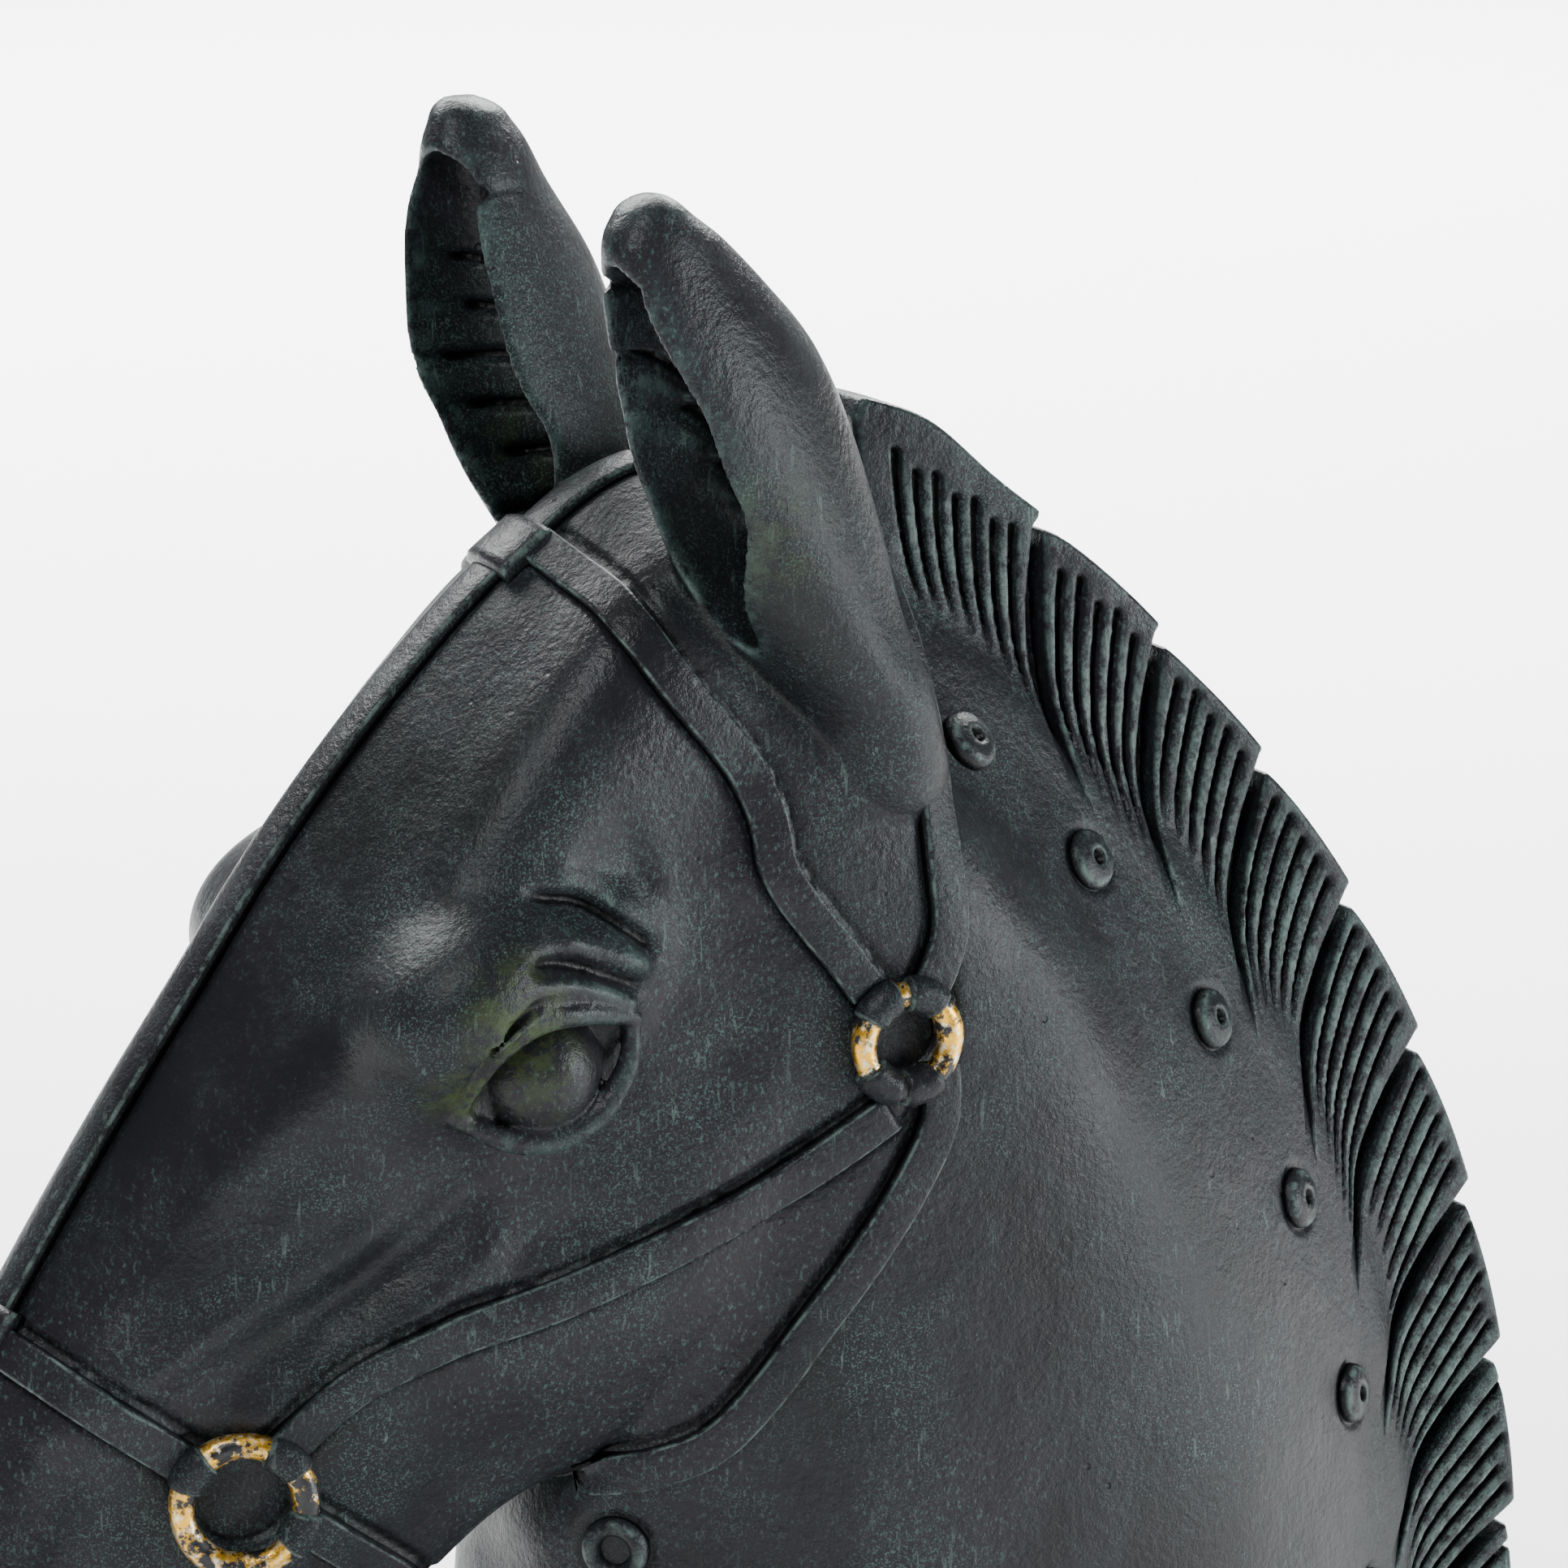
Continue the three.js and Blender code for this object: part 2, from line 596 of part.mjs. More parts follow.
function tube(points, radius, sides) {
  const curve = new THREE.CatmullRomCurve3(points, false, "centripetal");
  const steps = Math.round((points.length - 1) * 1.25);
  const frames = curve.computeFrenetFrames(steps, false);
  const rings = [];
  for (let k = 0; k <= steps; k += 1) {
    const middle = curve.getPointAt(k / steps);
    rings.push(Array.from({ length: sides }, (_, i) => {
      const a = (i / sides) * 2 * Math.PI;
      const spoke = frames.normals[k].clone().multiplyScalar(Math.cos(a) * radius * FORM);
      return spoke.addScaledVector(frames.binormals[k], Math.sin(a) * radius * FORM).add(middle);
    }));
  }
  return skin(rings);
}

function buildEye(side) {
  const socketRim = ball(70, 55, side * 37, [20, 10, 13], -0.35, 8);
  const orbit = ball(66, 43, side * 31, [33, 18, 20], -0.45, 10).add(socketRim);
  const brow = lid(side, 20, 3.4, 1.5);
  const upper = lid(side, 11.5, 2.2, 5);
  const lower = lid(side, -11, 2, 3.5);
  const hollow = ball(EYE.t, EYE.n, side * (EYE.y + 10), [14, 9, 8.5], EYE.slant, 8);
  const eyeball = ball(EYE.t, EYE.n, side * EYE.y, Array(3).fill(EYE.radius), 0, 10);
  return { orbit, lids: [brow, upper, lower, eyeball], hollow };
}

// Muzzle: t, n and y of each hollow with its radii, and of the points along the mouth.
const NOSTRIL = { at: [237, 50, 27], radii: [7.5, 9, 6] };
const NOSTRIL_TAIL = { at: [229, 58, 26], radii: [6, 6, 4] };
const NOSTRIL_SLANT = 0.5;
const MOUTH_LINE = [[262, 20, 14], [250, 15, 23.5], [234, 10, 27.5], [216, 9, 27], [206, 5, 26]];
const MOUTH_RADIUS = 1.8;

function buildMuzzleCuts(side) {
  const hollows = [NOSTRIL, NOSTRIL_TAIL].map(({ at: [t, n, y], radii }) => {
    return ball(t, n, side * y, radii, NOSTRIL_SLANT, 8);
  });
  const mouth = tube(MOUTH_LINE.map(([t, n, y]) => headPoint(t, n, side * y)), MOUTH_RADIUS, 4);
  return [...hollows, mouth];
}

const TRIM_BLOCK = 1000;

function buildHorseHead() {
  const join = (list) => list.reduce((sum, next) => sum.add(next));
  let body = skinThroughRibs(HEAD_RIBS.map(headRib), HEAD_RIB_STEPS, HEAD_LENGTH_STEPS);
  body = body.add(skinThroughRibs(NECK_RIBS.map(neckRib), NECK_RIB_STEPS, NECK_LENGTH_STEPS));
  const eyes = [-1, 1].map(buildEye);
  eyes.forEach((eye) => {
    body = body.add(eye.orbit);
  });
  const trace = tracer(body);
  const bridle = buildBridle(trace);
  const studs = buildStuds(trace);
  eyes.forEach((eye) => {
    body = body.subtract(eye.hollow).add(join(eye.lids));
  });
  const mane = buildMane();
  body = body.add(join(mane.joins));
  body = body.subtract(join(mane.cuts));
  for (const pose of [NEAR_EAR, FAR_EAR]) {
    body = body.add(ear(pose)).subtract(join(buildMuzzleCuts(pose.side)));
  }
  body = body.add(join(bridle)).add(join(studs));
  const size = TRIM_BLOCK * FORM;
  const below = new THREE.BoxGeometry(size, size, size);
  below.translate(0, 0, -size / 2);
  return largestPiece(body.subtract(solid(below)));
}

// The cast is one closed skin: pockets sealed inside it are filled and crumbs dropped.
function largestPiece(body) {
  return body.decompose().reduce((best, piece) => (piece.volume() > best.volume() ? piece : best));
}

function toGeometry(body) {
  const got = body.getMesh();
  const geometry = new THREE.BufferGeometry();
  geometry.setAttribute("position", new THREE.BufferAttribute(got.vertProperties, 3));
  geometry.setIndex(new THREE.BufferAttribute(got.triVerts, 1));
  return geometry;
}

const bronze = new THREE.MeshStandardMaterial({ color: 0x2c2d31, roughness: 0.55, metalness: 0.35 });
const horseHead = new THREE.Mesh(toGeometry(buildHorseHead()), bronze);
horseHead.name = "horse_head";

const group = new THREE.Group();
group.add(horseHead);
export default group;
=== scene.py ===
# Horse head bust: the finished skin of the cast, its gilded rings, camera, floor and light.
# The form is worked out as a distance field in millimetres and then meshed, piece by piece.
import math

import bpy
import numpy as np
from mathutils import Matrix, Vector


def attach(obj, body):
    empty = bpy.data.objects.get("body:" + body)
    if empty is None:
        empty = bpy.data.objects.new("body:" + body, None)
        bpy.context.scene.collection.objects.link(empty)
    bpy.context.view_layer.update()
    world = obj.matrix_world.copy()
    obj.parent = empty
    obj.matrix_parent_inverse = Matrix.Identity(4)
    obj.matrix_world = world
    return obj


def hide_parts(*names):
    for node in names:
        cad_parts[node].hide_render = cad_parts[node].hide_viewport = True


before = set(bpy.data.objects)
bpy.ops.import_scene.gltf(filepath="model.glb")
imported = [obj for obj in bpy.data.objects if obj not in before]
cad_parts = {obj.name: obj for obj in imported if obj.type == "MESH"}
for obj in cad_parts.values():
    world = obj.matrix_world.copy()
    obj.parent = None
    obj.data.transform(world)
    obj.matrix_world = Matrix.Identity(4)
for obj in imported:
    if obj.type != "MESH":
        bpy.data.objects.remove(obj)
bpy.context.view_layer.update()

MM = 0.001
VOXEL = 0.8
MANE_VOXEL = 0.55
MOST_TRIANGLES = 190000
FAR = 100.0

# Driving sizes, as in the part
CREST_RADIUS = 290.0
NECK_DROP = 65.0
MANE_THICKNESS = 17.0
MANE_HEIGHT = 30.0
MANE_START = 315.0
FIRST_TUFT = 49.0
TUFT_PITCH = 36.0
TUFT_GAP = 3.0
STRAP_WIDTH = 7.5
STRAP_THICKNESS = 1.8
FACE_STRAP_WIDTH = 9.5
UPPER_RING = {"t": 30.7, "n": -24.8, "diameter": 23.0}
LOWER_RING = {"t": 168.7, "n": 29.8, "diameter": 28.0}
RING_BAR = 5.0
STUD_PITCH = 52.5
FIRST_STUD = 272.0
STUD_OUT = CREST_RADIUS - 44.0

X_SHIFT = -55.0
HEAD_TILT = math.radians(52.7)
HEAD_COS = math.cos(HEAD_TILT)
HEAD_SIN = math.sin(HEAD_TILT)
HEAD_ZERO = (X_SHIFT, NECK_DROP + 185.0)
CREST_ZERO = (X_SHIFT - 124.0, NECK_DROP)


# Frames of the head and of the neck

def to_head(x, z):
    """t from poll to lips and n from jaw to face, at a point of the part."""
    dx = x - HEAD_ZERO[0]
    dz = z - HEAD_ZERO[1]
    return -HEAD_COS * dx - HEAD_SIN * dz, -HEAD_SIN * dx + HEAD_COS * dz


def from_head(t, n):
    x = HEAD_ZERO[0] - HEAD_COS * t - HEAD_SIN * n
    z = HEAD_ZERO[1] - HEAD_SIN * t + HEAD_COS * n
    return x, z


def to_neck(x, z):
    """run along the crest, 0 where its arc ends and negative below, and the radius out."""
    dx = x - CREST_ZERO[0]
    dz = z - CREST_ZERO[1]
    above = np.maximum(dz, 0.0)
    out = np.where(dz > 0, np.hypot(dx, above), dx)
    run = np.where(dz > 0, CREST_RADIUS * np.arctan2(above, dx), dz)
    return run, out


def from_neck(run, out):
    turn = np.maximum(run, 0.0) / CREST_RADIUS
    x = CREST_ZERO[0] + out * np.cos(turn)
    z = CREST_ZERO[1] + out * np.sin(turn) + np.minimum(run, 0.0)
    return x, z


# Mixing of distances

def blend(a, b, soft):
    """Smooth union."""
    share = np.clip(0.5 + 0.5 * (b - a) / soft, 0.0, 1.0)
    return b + (a - b) * share - soft * share * (1.0 - share)


def common(a, b, soft):
    return -blend(-a, -b, soft)


def carve(a, b, soft):
    return -blend(-a, b, soft)


def smooth_step(value):
    clipped = np.clip(value, 0.0, 1.0)
    return clipped * clipped * (3.0 - 2.0 * clipped)


def bump(value):
    return np.exp(-value * value)


# Curves through a few points

def through(stations, rows, at):
    """Smooth values at the stations asked for, through table rows at uneven stations."""
    stations = np.asarray(stations, float)
    rows = np.asarray(rows, float).reshape(len(stations), -1)
    gaps = np.diff(stations)[:, None]
    slopes = np.diff(rows, axis=0) / gaps
    tangents = np.empty_like(rows)
    tangents[1:-1] = (slopes[:-1] * gaps[1:] + slopes[1:] * gaps[:-1]) / (gaps[1:] + gaps[:-1])
    tangents[0] = slopes[0]
    tangents[-1] = slopes[-1]
    at = np.clip(np.asarray(at, float), stations[0], stations[-1])
    i = np.clip(np.searchsorted(stations, at, side="right") - 1, 0, len(stations) - 2)
    gap = gaps[i]
    s = (at[:, None] - stations[i][:, None]) / gap
    first = (1 + 2 * s) * (1 - s) ** 2 * rows[i] + s * (1 - s) ** 2 * gap * tangents[i]
    return first + s * s * (3 - 2 * s) * rows[i + 1] + s * s * (s - 1) * gap * tangents[i + 1]


def path(points, spacing):
    """A smooth path through points, with a point about every spacing."""
    points = np.asarray(points, float)
    gaps = np.linalg.norm(np.diff(points, axis=0), axis=1)
    stations = np.concatenate([[0.0], np.cumsum(gaps)])
    count = max(2, int(round(stations[-1] / spacing)) + 1)
    return through(stations, points, np.linspace(0, stations[-1], count))


def closed_curve(rings, per_span):
    """Centripetal curves through closed rings of points, of shape (rings, points, 2)."""
    before, start, end, after = (np.roll(rings, shift, axis=1) for shift in (1, 0, -1, -2))
    gap_0 = np.sqrt(np.linalg.norm(start - before, axis=2, keepdims=True))
    gap_1 = np.sqrt(np.linalg.norm(end - start, axis=2, keepdims=True))
    gap_2 = np.sqrt(np.linalg.norm(after - end, axis=2, keepdims=True))
    chord = (end - start) / gap_1
    leave = ((start - before) / gap_0 - (end - before) / (gap_0 + gap_1) + chord) * gap_1
    arrive = (chord - (after - start) / (gap_1 + gap_2) + (after - end) / gap_2) * gap_1
    s = np.linspace(0, 1, per_span, endpoint=False)[None, None, :, None]
    start, end, leave, arrive = (part[:, :, None, :] for part in (start, end, leave, arrive))
    curve = (1 + 2 * s) * (1 - s) ** 2 * start + s * (1 - s) ** 2 * leave
    curve = curve + s * s * (3 - 2 * s) * end + s * s * (s - 1) * arrive
    return curve.reshape(len(rings), -1, 2)


class RadialTable:
    """A long body as its radius around a middle line: stations one way, angles the other."""

    ANGLES = 256
    STEP = 1.5

    def __init__(self, stations, rows, half_section, middle_of):
        self.start = stations[0]
        self.end = stations[-1]
        count = int((self.end - self.start) / self.STEP) + 1
        self.at = self.start + self.STEP * np.arange(count)
        values = through(stations, rows, self.at)
        self.middle = middle_of(values)
        half = half_section(values)
        other = half[:, -2:0:-1] * np.array([-1.0, 1.0])
        curve = closed_curve(np.concatenate([half, other], axis=1), 12)
        angles = np.linspace(0, math.pi, self.ANGLES)
        self.radius = np.empty((count, self.ANGLES), np.float32)
        for k in range(count):
            across = curve[k, :, 0]
            rise = curve[k, :, 1] - self.middle[k]
            angle = np.arctan2(across, rise)
            kept = angle > -0.3
            order = np.argsort(angle[kept])
            spokes = np.hypot(across, rise)[kept][order]
            self.radius[k] = np.interp(angles, angle[kept][order], spokes)
        turn = np.gradient(self.radius, angles, axis=1) / self.radius
        along = np.gradient(self.radius, self.STEP, axis=0)
        self.scale = (1.0 / np.sqrt(1.0 + turn ** 2 + along ** 2)).astype(np.float32)

    def distance(self, station, level, y):
        row = np.clip((station - self.start) / self.STEP, 0, len(self.at) - 1.001)
        i = row.astype(np.int32)
        u = (row - i).astype(np.float32)
        middle = self.middle[i] * (1 - u) + self.middle[i + 1] * u
        rise = (level - middle).astype(np.float32)
        y = np.asarray(y, np.float32)
        angle = np.arctan2(np.abs(y), rise) * ((self.ANGLES - 1) / math.pi)
        angle = np.clip(angle, 0, self.ANGLES - 1.001)
        j = angle.astype(np.int32)
        v = angle - j
        flat = i * self.ANGLES + j
        spoke = self._mixed(self.radius, flat, u, v)
        scale = self._mixed(self.scale, flat, u, v)
        return (np.hypot(y, rise) - spoke) * scale

    def _mixed(self, table, flat, u, v):
        values = table.ravel()
        low = values[flat] * (1 - v) + values[flat + 1] * v
        high = values[flat + self.ANGLES] * (1 - v) + values[flat + self.ANGLES + 1] * v
        return low * (1 - u) + high * u


# Head. Each row: t, face, brow half-width and level, cheek half-width and level,
# jaw half-width, underside, and how full the side is between brow and cheek.
HEAD_RIBS = [
    [-48, 50, 22, 32, 24, 4, 18, -18, 1.0],
    [-30, 67, 30, 46, 34, 8, 28, -32, 1.0],
    [-5, 76.5, 36, 56, 42, 4, 37, -41, 0.98],
    [25, 82.0, 41, 57, 44, -2, 40, -46, 0.95],
    [50, 84.2, 44, 55, 45, -8, 41, -48, 0.91],
    [72, 84.5, 45, 53, 45, -10, 40, -48, 0.9],
    [95, 83.5, 40, 55, 44, -8, 38, -48, 0.91],
    [118, 82.8, 33, 57, 41, 6, 33, -41, 0.93],
    [140, 81.5, 28, 58, 36, 18, 27, -26, 0.93],
    [168, 79, 24, 57, 29.5, 25, 22, -19, 0.95],
    [195, 75, 21, 54, 25, 26, 19, -14, 0.97],
    [218, 74, 24, 52, 26, 22, 19, -12, 0.98],
    [236, 71, 26, 47, 26, 14, 20, -14, 1.0],
    [250, 62, 22, 41, 22, 10, 16, -9, 1.0],
    [260, 46, 11, 34, 11, 15, 8, 5, 1.0],
]


def mix(a, b, share):
    return a + (b - a) * share


def head_half_section(v):
    face, brow_wide, brow, cheek_wide, cheek, jaw_wide, under, full = v.T
    zero = np.zeros_like(face)
    points = [
        (zero, face),
        (brow_wide * 0.55, face - (face - brow) * 0.32),
        (brow_wide * 0.88, mix(face, brow, 0.59)),
        (brow_wide, brow),
        (mix(brow_wide, cheek_wide, 0.5) * full, mix(brow, cheek, 0.5)),
        (cheek_wide, cheek),
        (mix(cheek_wide, jaw_wide, 0.6), mix(cheek, under, 0.55)),
        (jaw_wide * 0.9, mix(cheek, under, 0.92)),
        (jaw_wide * 0.45, under),
        (zero, under + 5),
    ]
    return np.stack([np.stack(point, axis=1) for point in points], axis=1)


HEAD = RadialTable(
    [row[0] for row in HEAD_RIBS],
    [row[1:] for row in HEAD_RIBS],
    head_half_section,
    lambda v: (v[:, 0] + v[:, 6]) / 2,
)

# Neck. Each row: run along the crest, front radius and half-width, widest radius and half-width.
NECK_TOP = CREST_RADIUS - MANE_HEIGHT
NECK_RIBS = [
    [-73, 56, 44, 149, 57],
    [-35, 58, 41, 151, 54],
    [0, 59, 39, 153, 52],
    [80, 62, 37, 160, 51],
    [160, 72, 35, 172, 49],
    [225, 92, 34, 190, 47],
    [275, 146, 34, 204, 45],
    [318, 176, 28, 214, 40],
    [345, 196, 14, 222, 30],
]


def neck_half_section(v):
    front, front_wide, middle, wide = v.T
    zero = np.zeros_like(front)
    points = [
        (zero, front),
        (front_wide * 0.55, front + 2),
        (front_wide * 0.95, front + 14),
        (mix(front_wide, wide, 0.75), mix(front, middle, 0.5)),
        (wide, middle),
        (wide * 0.9, mix(middle, NECK_TOP, 0.45)),
        (zero + 28, zero + NECK_TOP - 22),
        (zero + 19.5, zero + NECK_TOP - 10),
        (zero + 12, zero + NECK_TOP + 1),
        (zero, zero + NECK_TOP + 4),
    ]
    section = np.stack([np.stack(point, axis=1) for point in points], axis=1)
    return section[:, ::-1]


NECK = RadialTable(
    [row[0] for row in NECK_RIBS],
    [row[1:] for row in NECK_RIBS],
    neck_half_section,
    lambda v: (v[:, 0] + NECK_TOP) / 2,
)
NECK_END = 345.0
HEAD_END = 259.5
HEAD_START = -48.0


def head_distance(x, y, z):
    t, n = to_head(x, z)
    distance = HEAD.distance(t, n, y)
    distance = common(distance, t - HEAD_END + 0 * distance, 7.0)
    return np.maximum(distance, HEAD_START - t)


def neck_distance(x, y, z):
    run, out = to_neck(x, z)
    distance = NECK.distance(run, out, y)
    return np.maximum(distance, run - NECK_END)


def ellipsoid(t, n, y, centre, radii, slant):
    """Near-distance to an ellipsoid in the head's frame, turned by slant in the side view."""
    dt = t - centre[0]
    dn = n - centre[1]
    a = (dt * math.cos(slant) + dn * math.sin(slant)) / radii[0]
    b = (dn * math.cos(slant) - dt * math.sin(slant)) / radii[1]
    c = (np.abs(y) - centre[2]) / radii[2]
    size = np.sqrt(a * a + b * b + c * c) + 1e-6
    steep = np.sqrt((a / radii[0]) ** 2 + (b / radii[1]) ** 2 + (c / radii[2]) ** 2) + 1e-6
    return size * (size - 1.0) / steep


def skin_distance(x, y, z):
    """The bare skin of head and neck, before straps, mane and ears."""
    t, n = to_head(x, z)
    distance = head_distance(x, y, z)
    distance = blend(distance, ellipsoid(t, n, y, (66, 43, 31), (32, 18, 19), 0.45), 9.0)
    distance = blend(distance, ellipsoid(t, n, y, (72, 56, 43), (18, 12.5, 12.5), 0.35), 9.0)
    return blend(distance, neck_distance(x, y, z), 3.0)


# Distance fields on a grid

class Field:
    """Distances in millimetres on a regular grid, negative inside. It spans half or all of y."""

    def __init__(self, low, high, voxel=VOXEL):
        self.voxel = voxel
        self.axes = []
        for a, b in zip(low, high):
            first = math.floor(a / voxel)
            last = math.ceil(b / voxel)
            self.axes.append(voxel * np.arange(first, last + 1))
        self.value = np.full([len(axis) for axis in self.axes], FAR, np.float32)

    def window(self, low, high):
        cut = []
        for axis, a, b in zip(self.axes, low, high):
            first = int(np.searchsorted(axis, a))
            last = int(np.searchsorted(axis, b, side="right"))
            cut.append(slice(first, max(last, first + 1)))
        x = self.axes[0][cut[0]][:, None, None].astype(np.float32)
        y = self.axes[1][cut[1]][None, :, None].astype(np.float32)
        z = self.axes[2][cut[2]][None, None, :].astype(np.float32)
        return tuple(cut), x, y, z

    def fill(self, distance):
        """Works the whole grid out in slabs, to keep the memory small."""
        count = len(self.axes[0])
        slab = 24
        for first in range(0, count, slab):
            x = self.axes[0][first:first + slab][:, None, None].astype(np.float32)
            y = self.axes[1][None, :, None].astype(np.float32)
            z = self.axes[2][None, None, :].astype(np.float32)
            self.value[first:first + slab] = distance(x, y, z)

    def mirrored(self):
        """The full field from a half that ends at y = 0."""
        full = Field.__new__(Field)
        full.voxel = self.voxel
        y = self.axes[1]
        full.axes = [self.axes[0], np.concatenate([y, -y[-2::-1]]), self.axes[2]]
        full.value = np.concatenate([self.value, self.value[:, -2::-1]], axis=1)
        return full

    def sample(self, points):
        """Values between the grid's points, at an array of points."""
        result = np.zeros(len(points), np.float32)
        place = []
        share = []
        for k in range(3):
            p = (points[:, k] - self.axes[k][0]) / self.voxel
            p = np.clip(p, 0, len(self.axes[k]) - 1.001)
            place.append(p.astype(np.int32))
            share.append(p - place[-1])
        for corner in range(8):
            weight = 1.0
            index = []
            for k in range(3):
                up = (corner >> k) & 1
                weight = weight * (share[k] if up else 1 - share[k])
                index.append(place[k] + up)
            result += weight * self.value[tuple(index)]
        return result


# Straps. Casts find the skin, as in the part.

CAST_FROM = 150.0
CAST_UNDER_JAW = 56.0
AXIS_LEVEL = 22.0


def from_side(t, n):
    x, z = from_head(t, n)
    return [x, -CAST_FROM, z], [0.0, CAST_FROM, 0.0]


def around_head(t, angle):
    a = math.radians(angle)
    reach = CAST_UNDER_JAW if angle > 110 else CAST_FROM
    x, z = from_head(t, AXIS_LEVEL + reach * math.cos(a))
    x_0, z_0 = from_head(t, AXIS_LEVEL)
    y = -reach * math.sin(a)
    return [x, y, z], [x_0 - x, -y, z_0 - z]


def on_skin(casts, spacing=5.0):
    """Points on the skin under a smooth row of casts."""
    origins = np.array([cast[0] for cast in casts])
    ways = np.array([cast[1] for cast in casts])
    if len(casts) > 1:
        middle = origins + ways * 0.7
        steps = np.concatenate([[0], np.cumsum(np.linalg.norm(np.diff(middle, axis=0), axis=1))])
        steps = steps + 1e-3 * np.arange(len(steps))
        count = max(2, int(steps[-1] / spacing) + 1)
        at = np.linspace(0, steps[-1], count)
        origins = through(steps, origins, at)
        ways = through(steps, ways, at)
    ways /= np.linalg.norm(ways, axis=1, keepdims=True)
    travel = np.arange(0, 200, 0.4)
    points = origins[:, None, :] + ways[:, None, :] * travel[None, :, None]
    value = skin_distance(points[..., 0], points[..., 1], points[..., 2])
    first = np.argmax(value < 0, axis=1)
    rows = np.arange(len(first))
    before = value[rows, np.maximum(first - 1, 0)]
    share = before / np.maximum(before - value[rows, first], 1e-6)
    depth = travel[np.maximum(first - 1, 0)] + share * (travel[1] - travel[0])
    return origins + ways * depth[:, None]


def bridle_routes():
    side = from_side
    around = around_head
    brow = [around(-8.8, 5), around(-7.3, 19), around(-6, 31), around(-3, 41), around(0.7, 52)]
    brow += [around(3.5, 65), around(5.5, 75), around(11.5, 90), around(18, 99), around(21, 108)]
    brow += [side(24.5, -4.7), side(27, -13)]
    crown = [side(-46, 34), side(-38, 22), side(-27.5, 10.7), side(-14, -2.4), side(-2, -12.4)]
    crown += [side(10.5, -22), side(20, -24)]
    cheek = [side(43, -31), side(64, -22), side(84, -10), side(106, 4.4), side(125, 19)]
    cheek += [side(139, 27), side(151, 29.5), side(157, 30)]
    throat = [side(30, -34), side(38, -40), side(53, -43), side(67, -43.5), side(86, -43)]
    throat += [side(100, -43), side(114, -41), side(124, -35), side(132, -29)]
    nose = [around(168.5, angle) for angle in (0, 20, 38, 50, 58)]
    chin = [around(166, angle) for angle in (100, 125, 150, 180)]
    return [on_skin(route) for route in (brow, crown, cheek, throat, nose, chin)]


def distance_to_route(x, y, z, route):
    """Distance to a row of straight pieces, and how far along it the nearest point is."""
    best = None
    count = len(route) - 1
    for k in range(count):
        start = route[k]
        way = route[k + 1] - start
        long = float(way @ way)
        px, py, pz = x - start[0], y - start[1], z - start[2]
        s = np.clip((px * way[0] + py * way[1] + pz * way[2]) / long, 0, 1)
        d = (px - s * way[0]) ** 2 + (py - s * way[1]) ** 2 + (pz - s * way[2]) ** 2
        if best is None:
            best, along = d, (k + s) / count
        else:
            nearer = d < best
            best = np.where(nearer, d, best)
            along = np.where(nearer, (k + s) / count, along)
    return np.sqrt(best), along


class Skin:
    """The finished skin of one half, for laying straps, rings and studs on it."""

    def __init__(self, field):
        self.field = field
        self.kept = Field.__new__(Field)
        self.kept.axes = field.axes
        self.kept.voxel = field.voxel
        self.kept.value = field.value.copy()

    def distance(self, points):
        near_half = points.copy()
        near_half[:, 1] = -np.abs(points[:, 1])
        return self.kept.sample(near_half)

    def normal(self, points):
        gradient = np.empty_like(points)
        for axis in range(3):
            step = np.zeros(3)
            step[axis] = 1.2
            gradient[:, axis] = self.distance(points + step) - self.distance(points - step)
        return gradient / np.maximum(np.linalg.norm(gradient, axis=1, keepdims=True), 1e-6)

    def settle(self, points):
        """Moves points onto the skin."""
        for _ in range(3):
            points = points - self.normal(points) * self.distance(points)[:, None]
        return points

    def ditch_beside(self, route, width, depth=0.9, spread=0.9):
        """Sinks a fine groove into the skin along both edges of a strap."""
        reach = width / 2 + 4.0
        step = 4
        for first in range(0, len(route) - 1, step):
            part = route[first:first + step + 1]
            cut, x, y, z = self.field.window(part.min(axis=0) - reach, part.max(axis=0) + reach)
            skin = self.kept.value[cut]
            if skin.size == 0:
                continue
            away, _ = distance_to_route(x, y, z, part)
            flat = np.sqrt(np.maximum(away ** 2 - skin ** 2, 0.0))
            groove = depth * bump((flat - width / 2 - 0.5) / spread) * (np.abs(skin) < 4)
            self.field.value[cut] = np.maximum(self.field.value[cut], skin + groove)

    def sink_disc(self, centre, radius, depth_at):
        """Sinks the skin around a centre by a depth that depends on the distance from it."""
        cut, x, y, z = self.field.window(centre - radius * 1.8, centre + radius * 1.8)
        skin = self.kept.value[cut]
        away = (x - centre[0]) ** 2 + (y - centre[1]) ** 2 + (z - centre[2]) ** 2
        flat = np.sqrt(np.maximum(away - skin ** 2, 0.0))
        self.field.value[cut] = np.maximum(self.field.value[cut], skin + depth_at(flat))


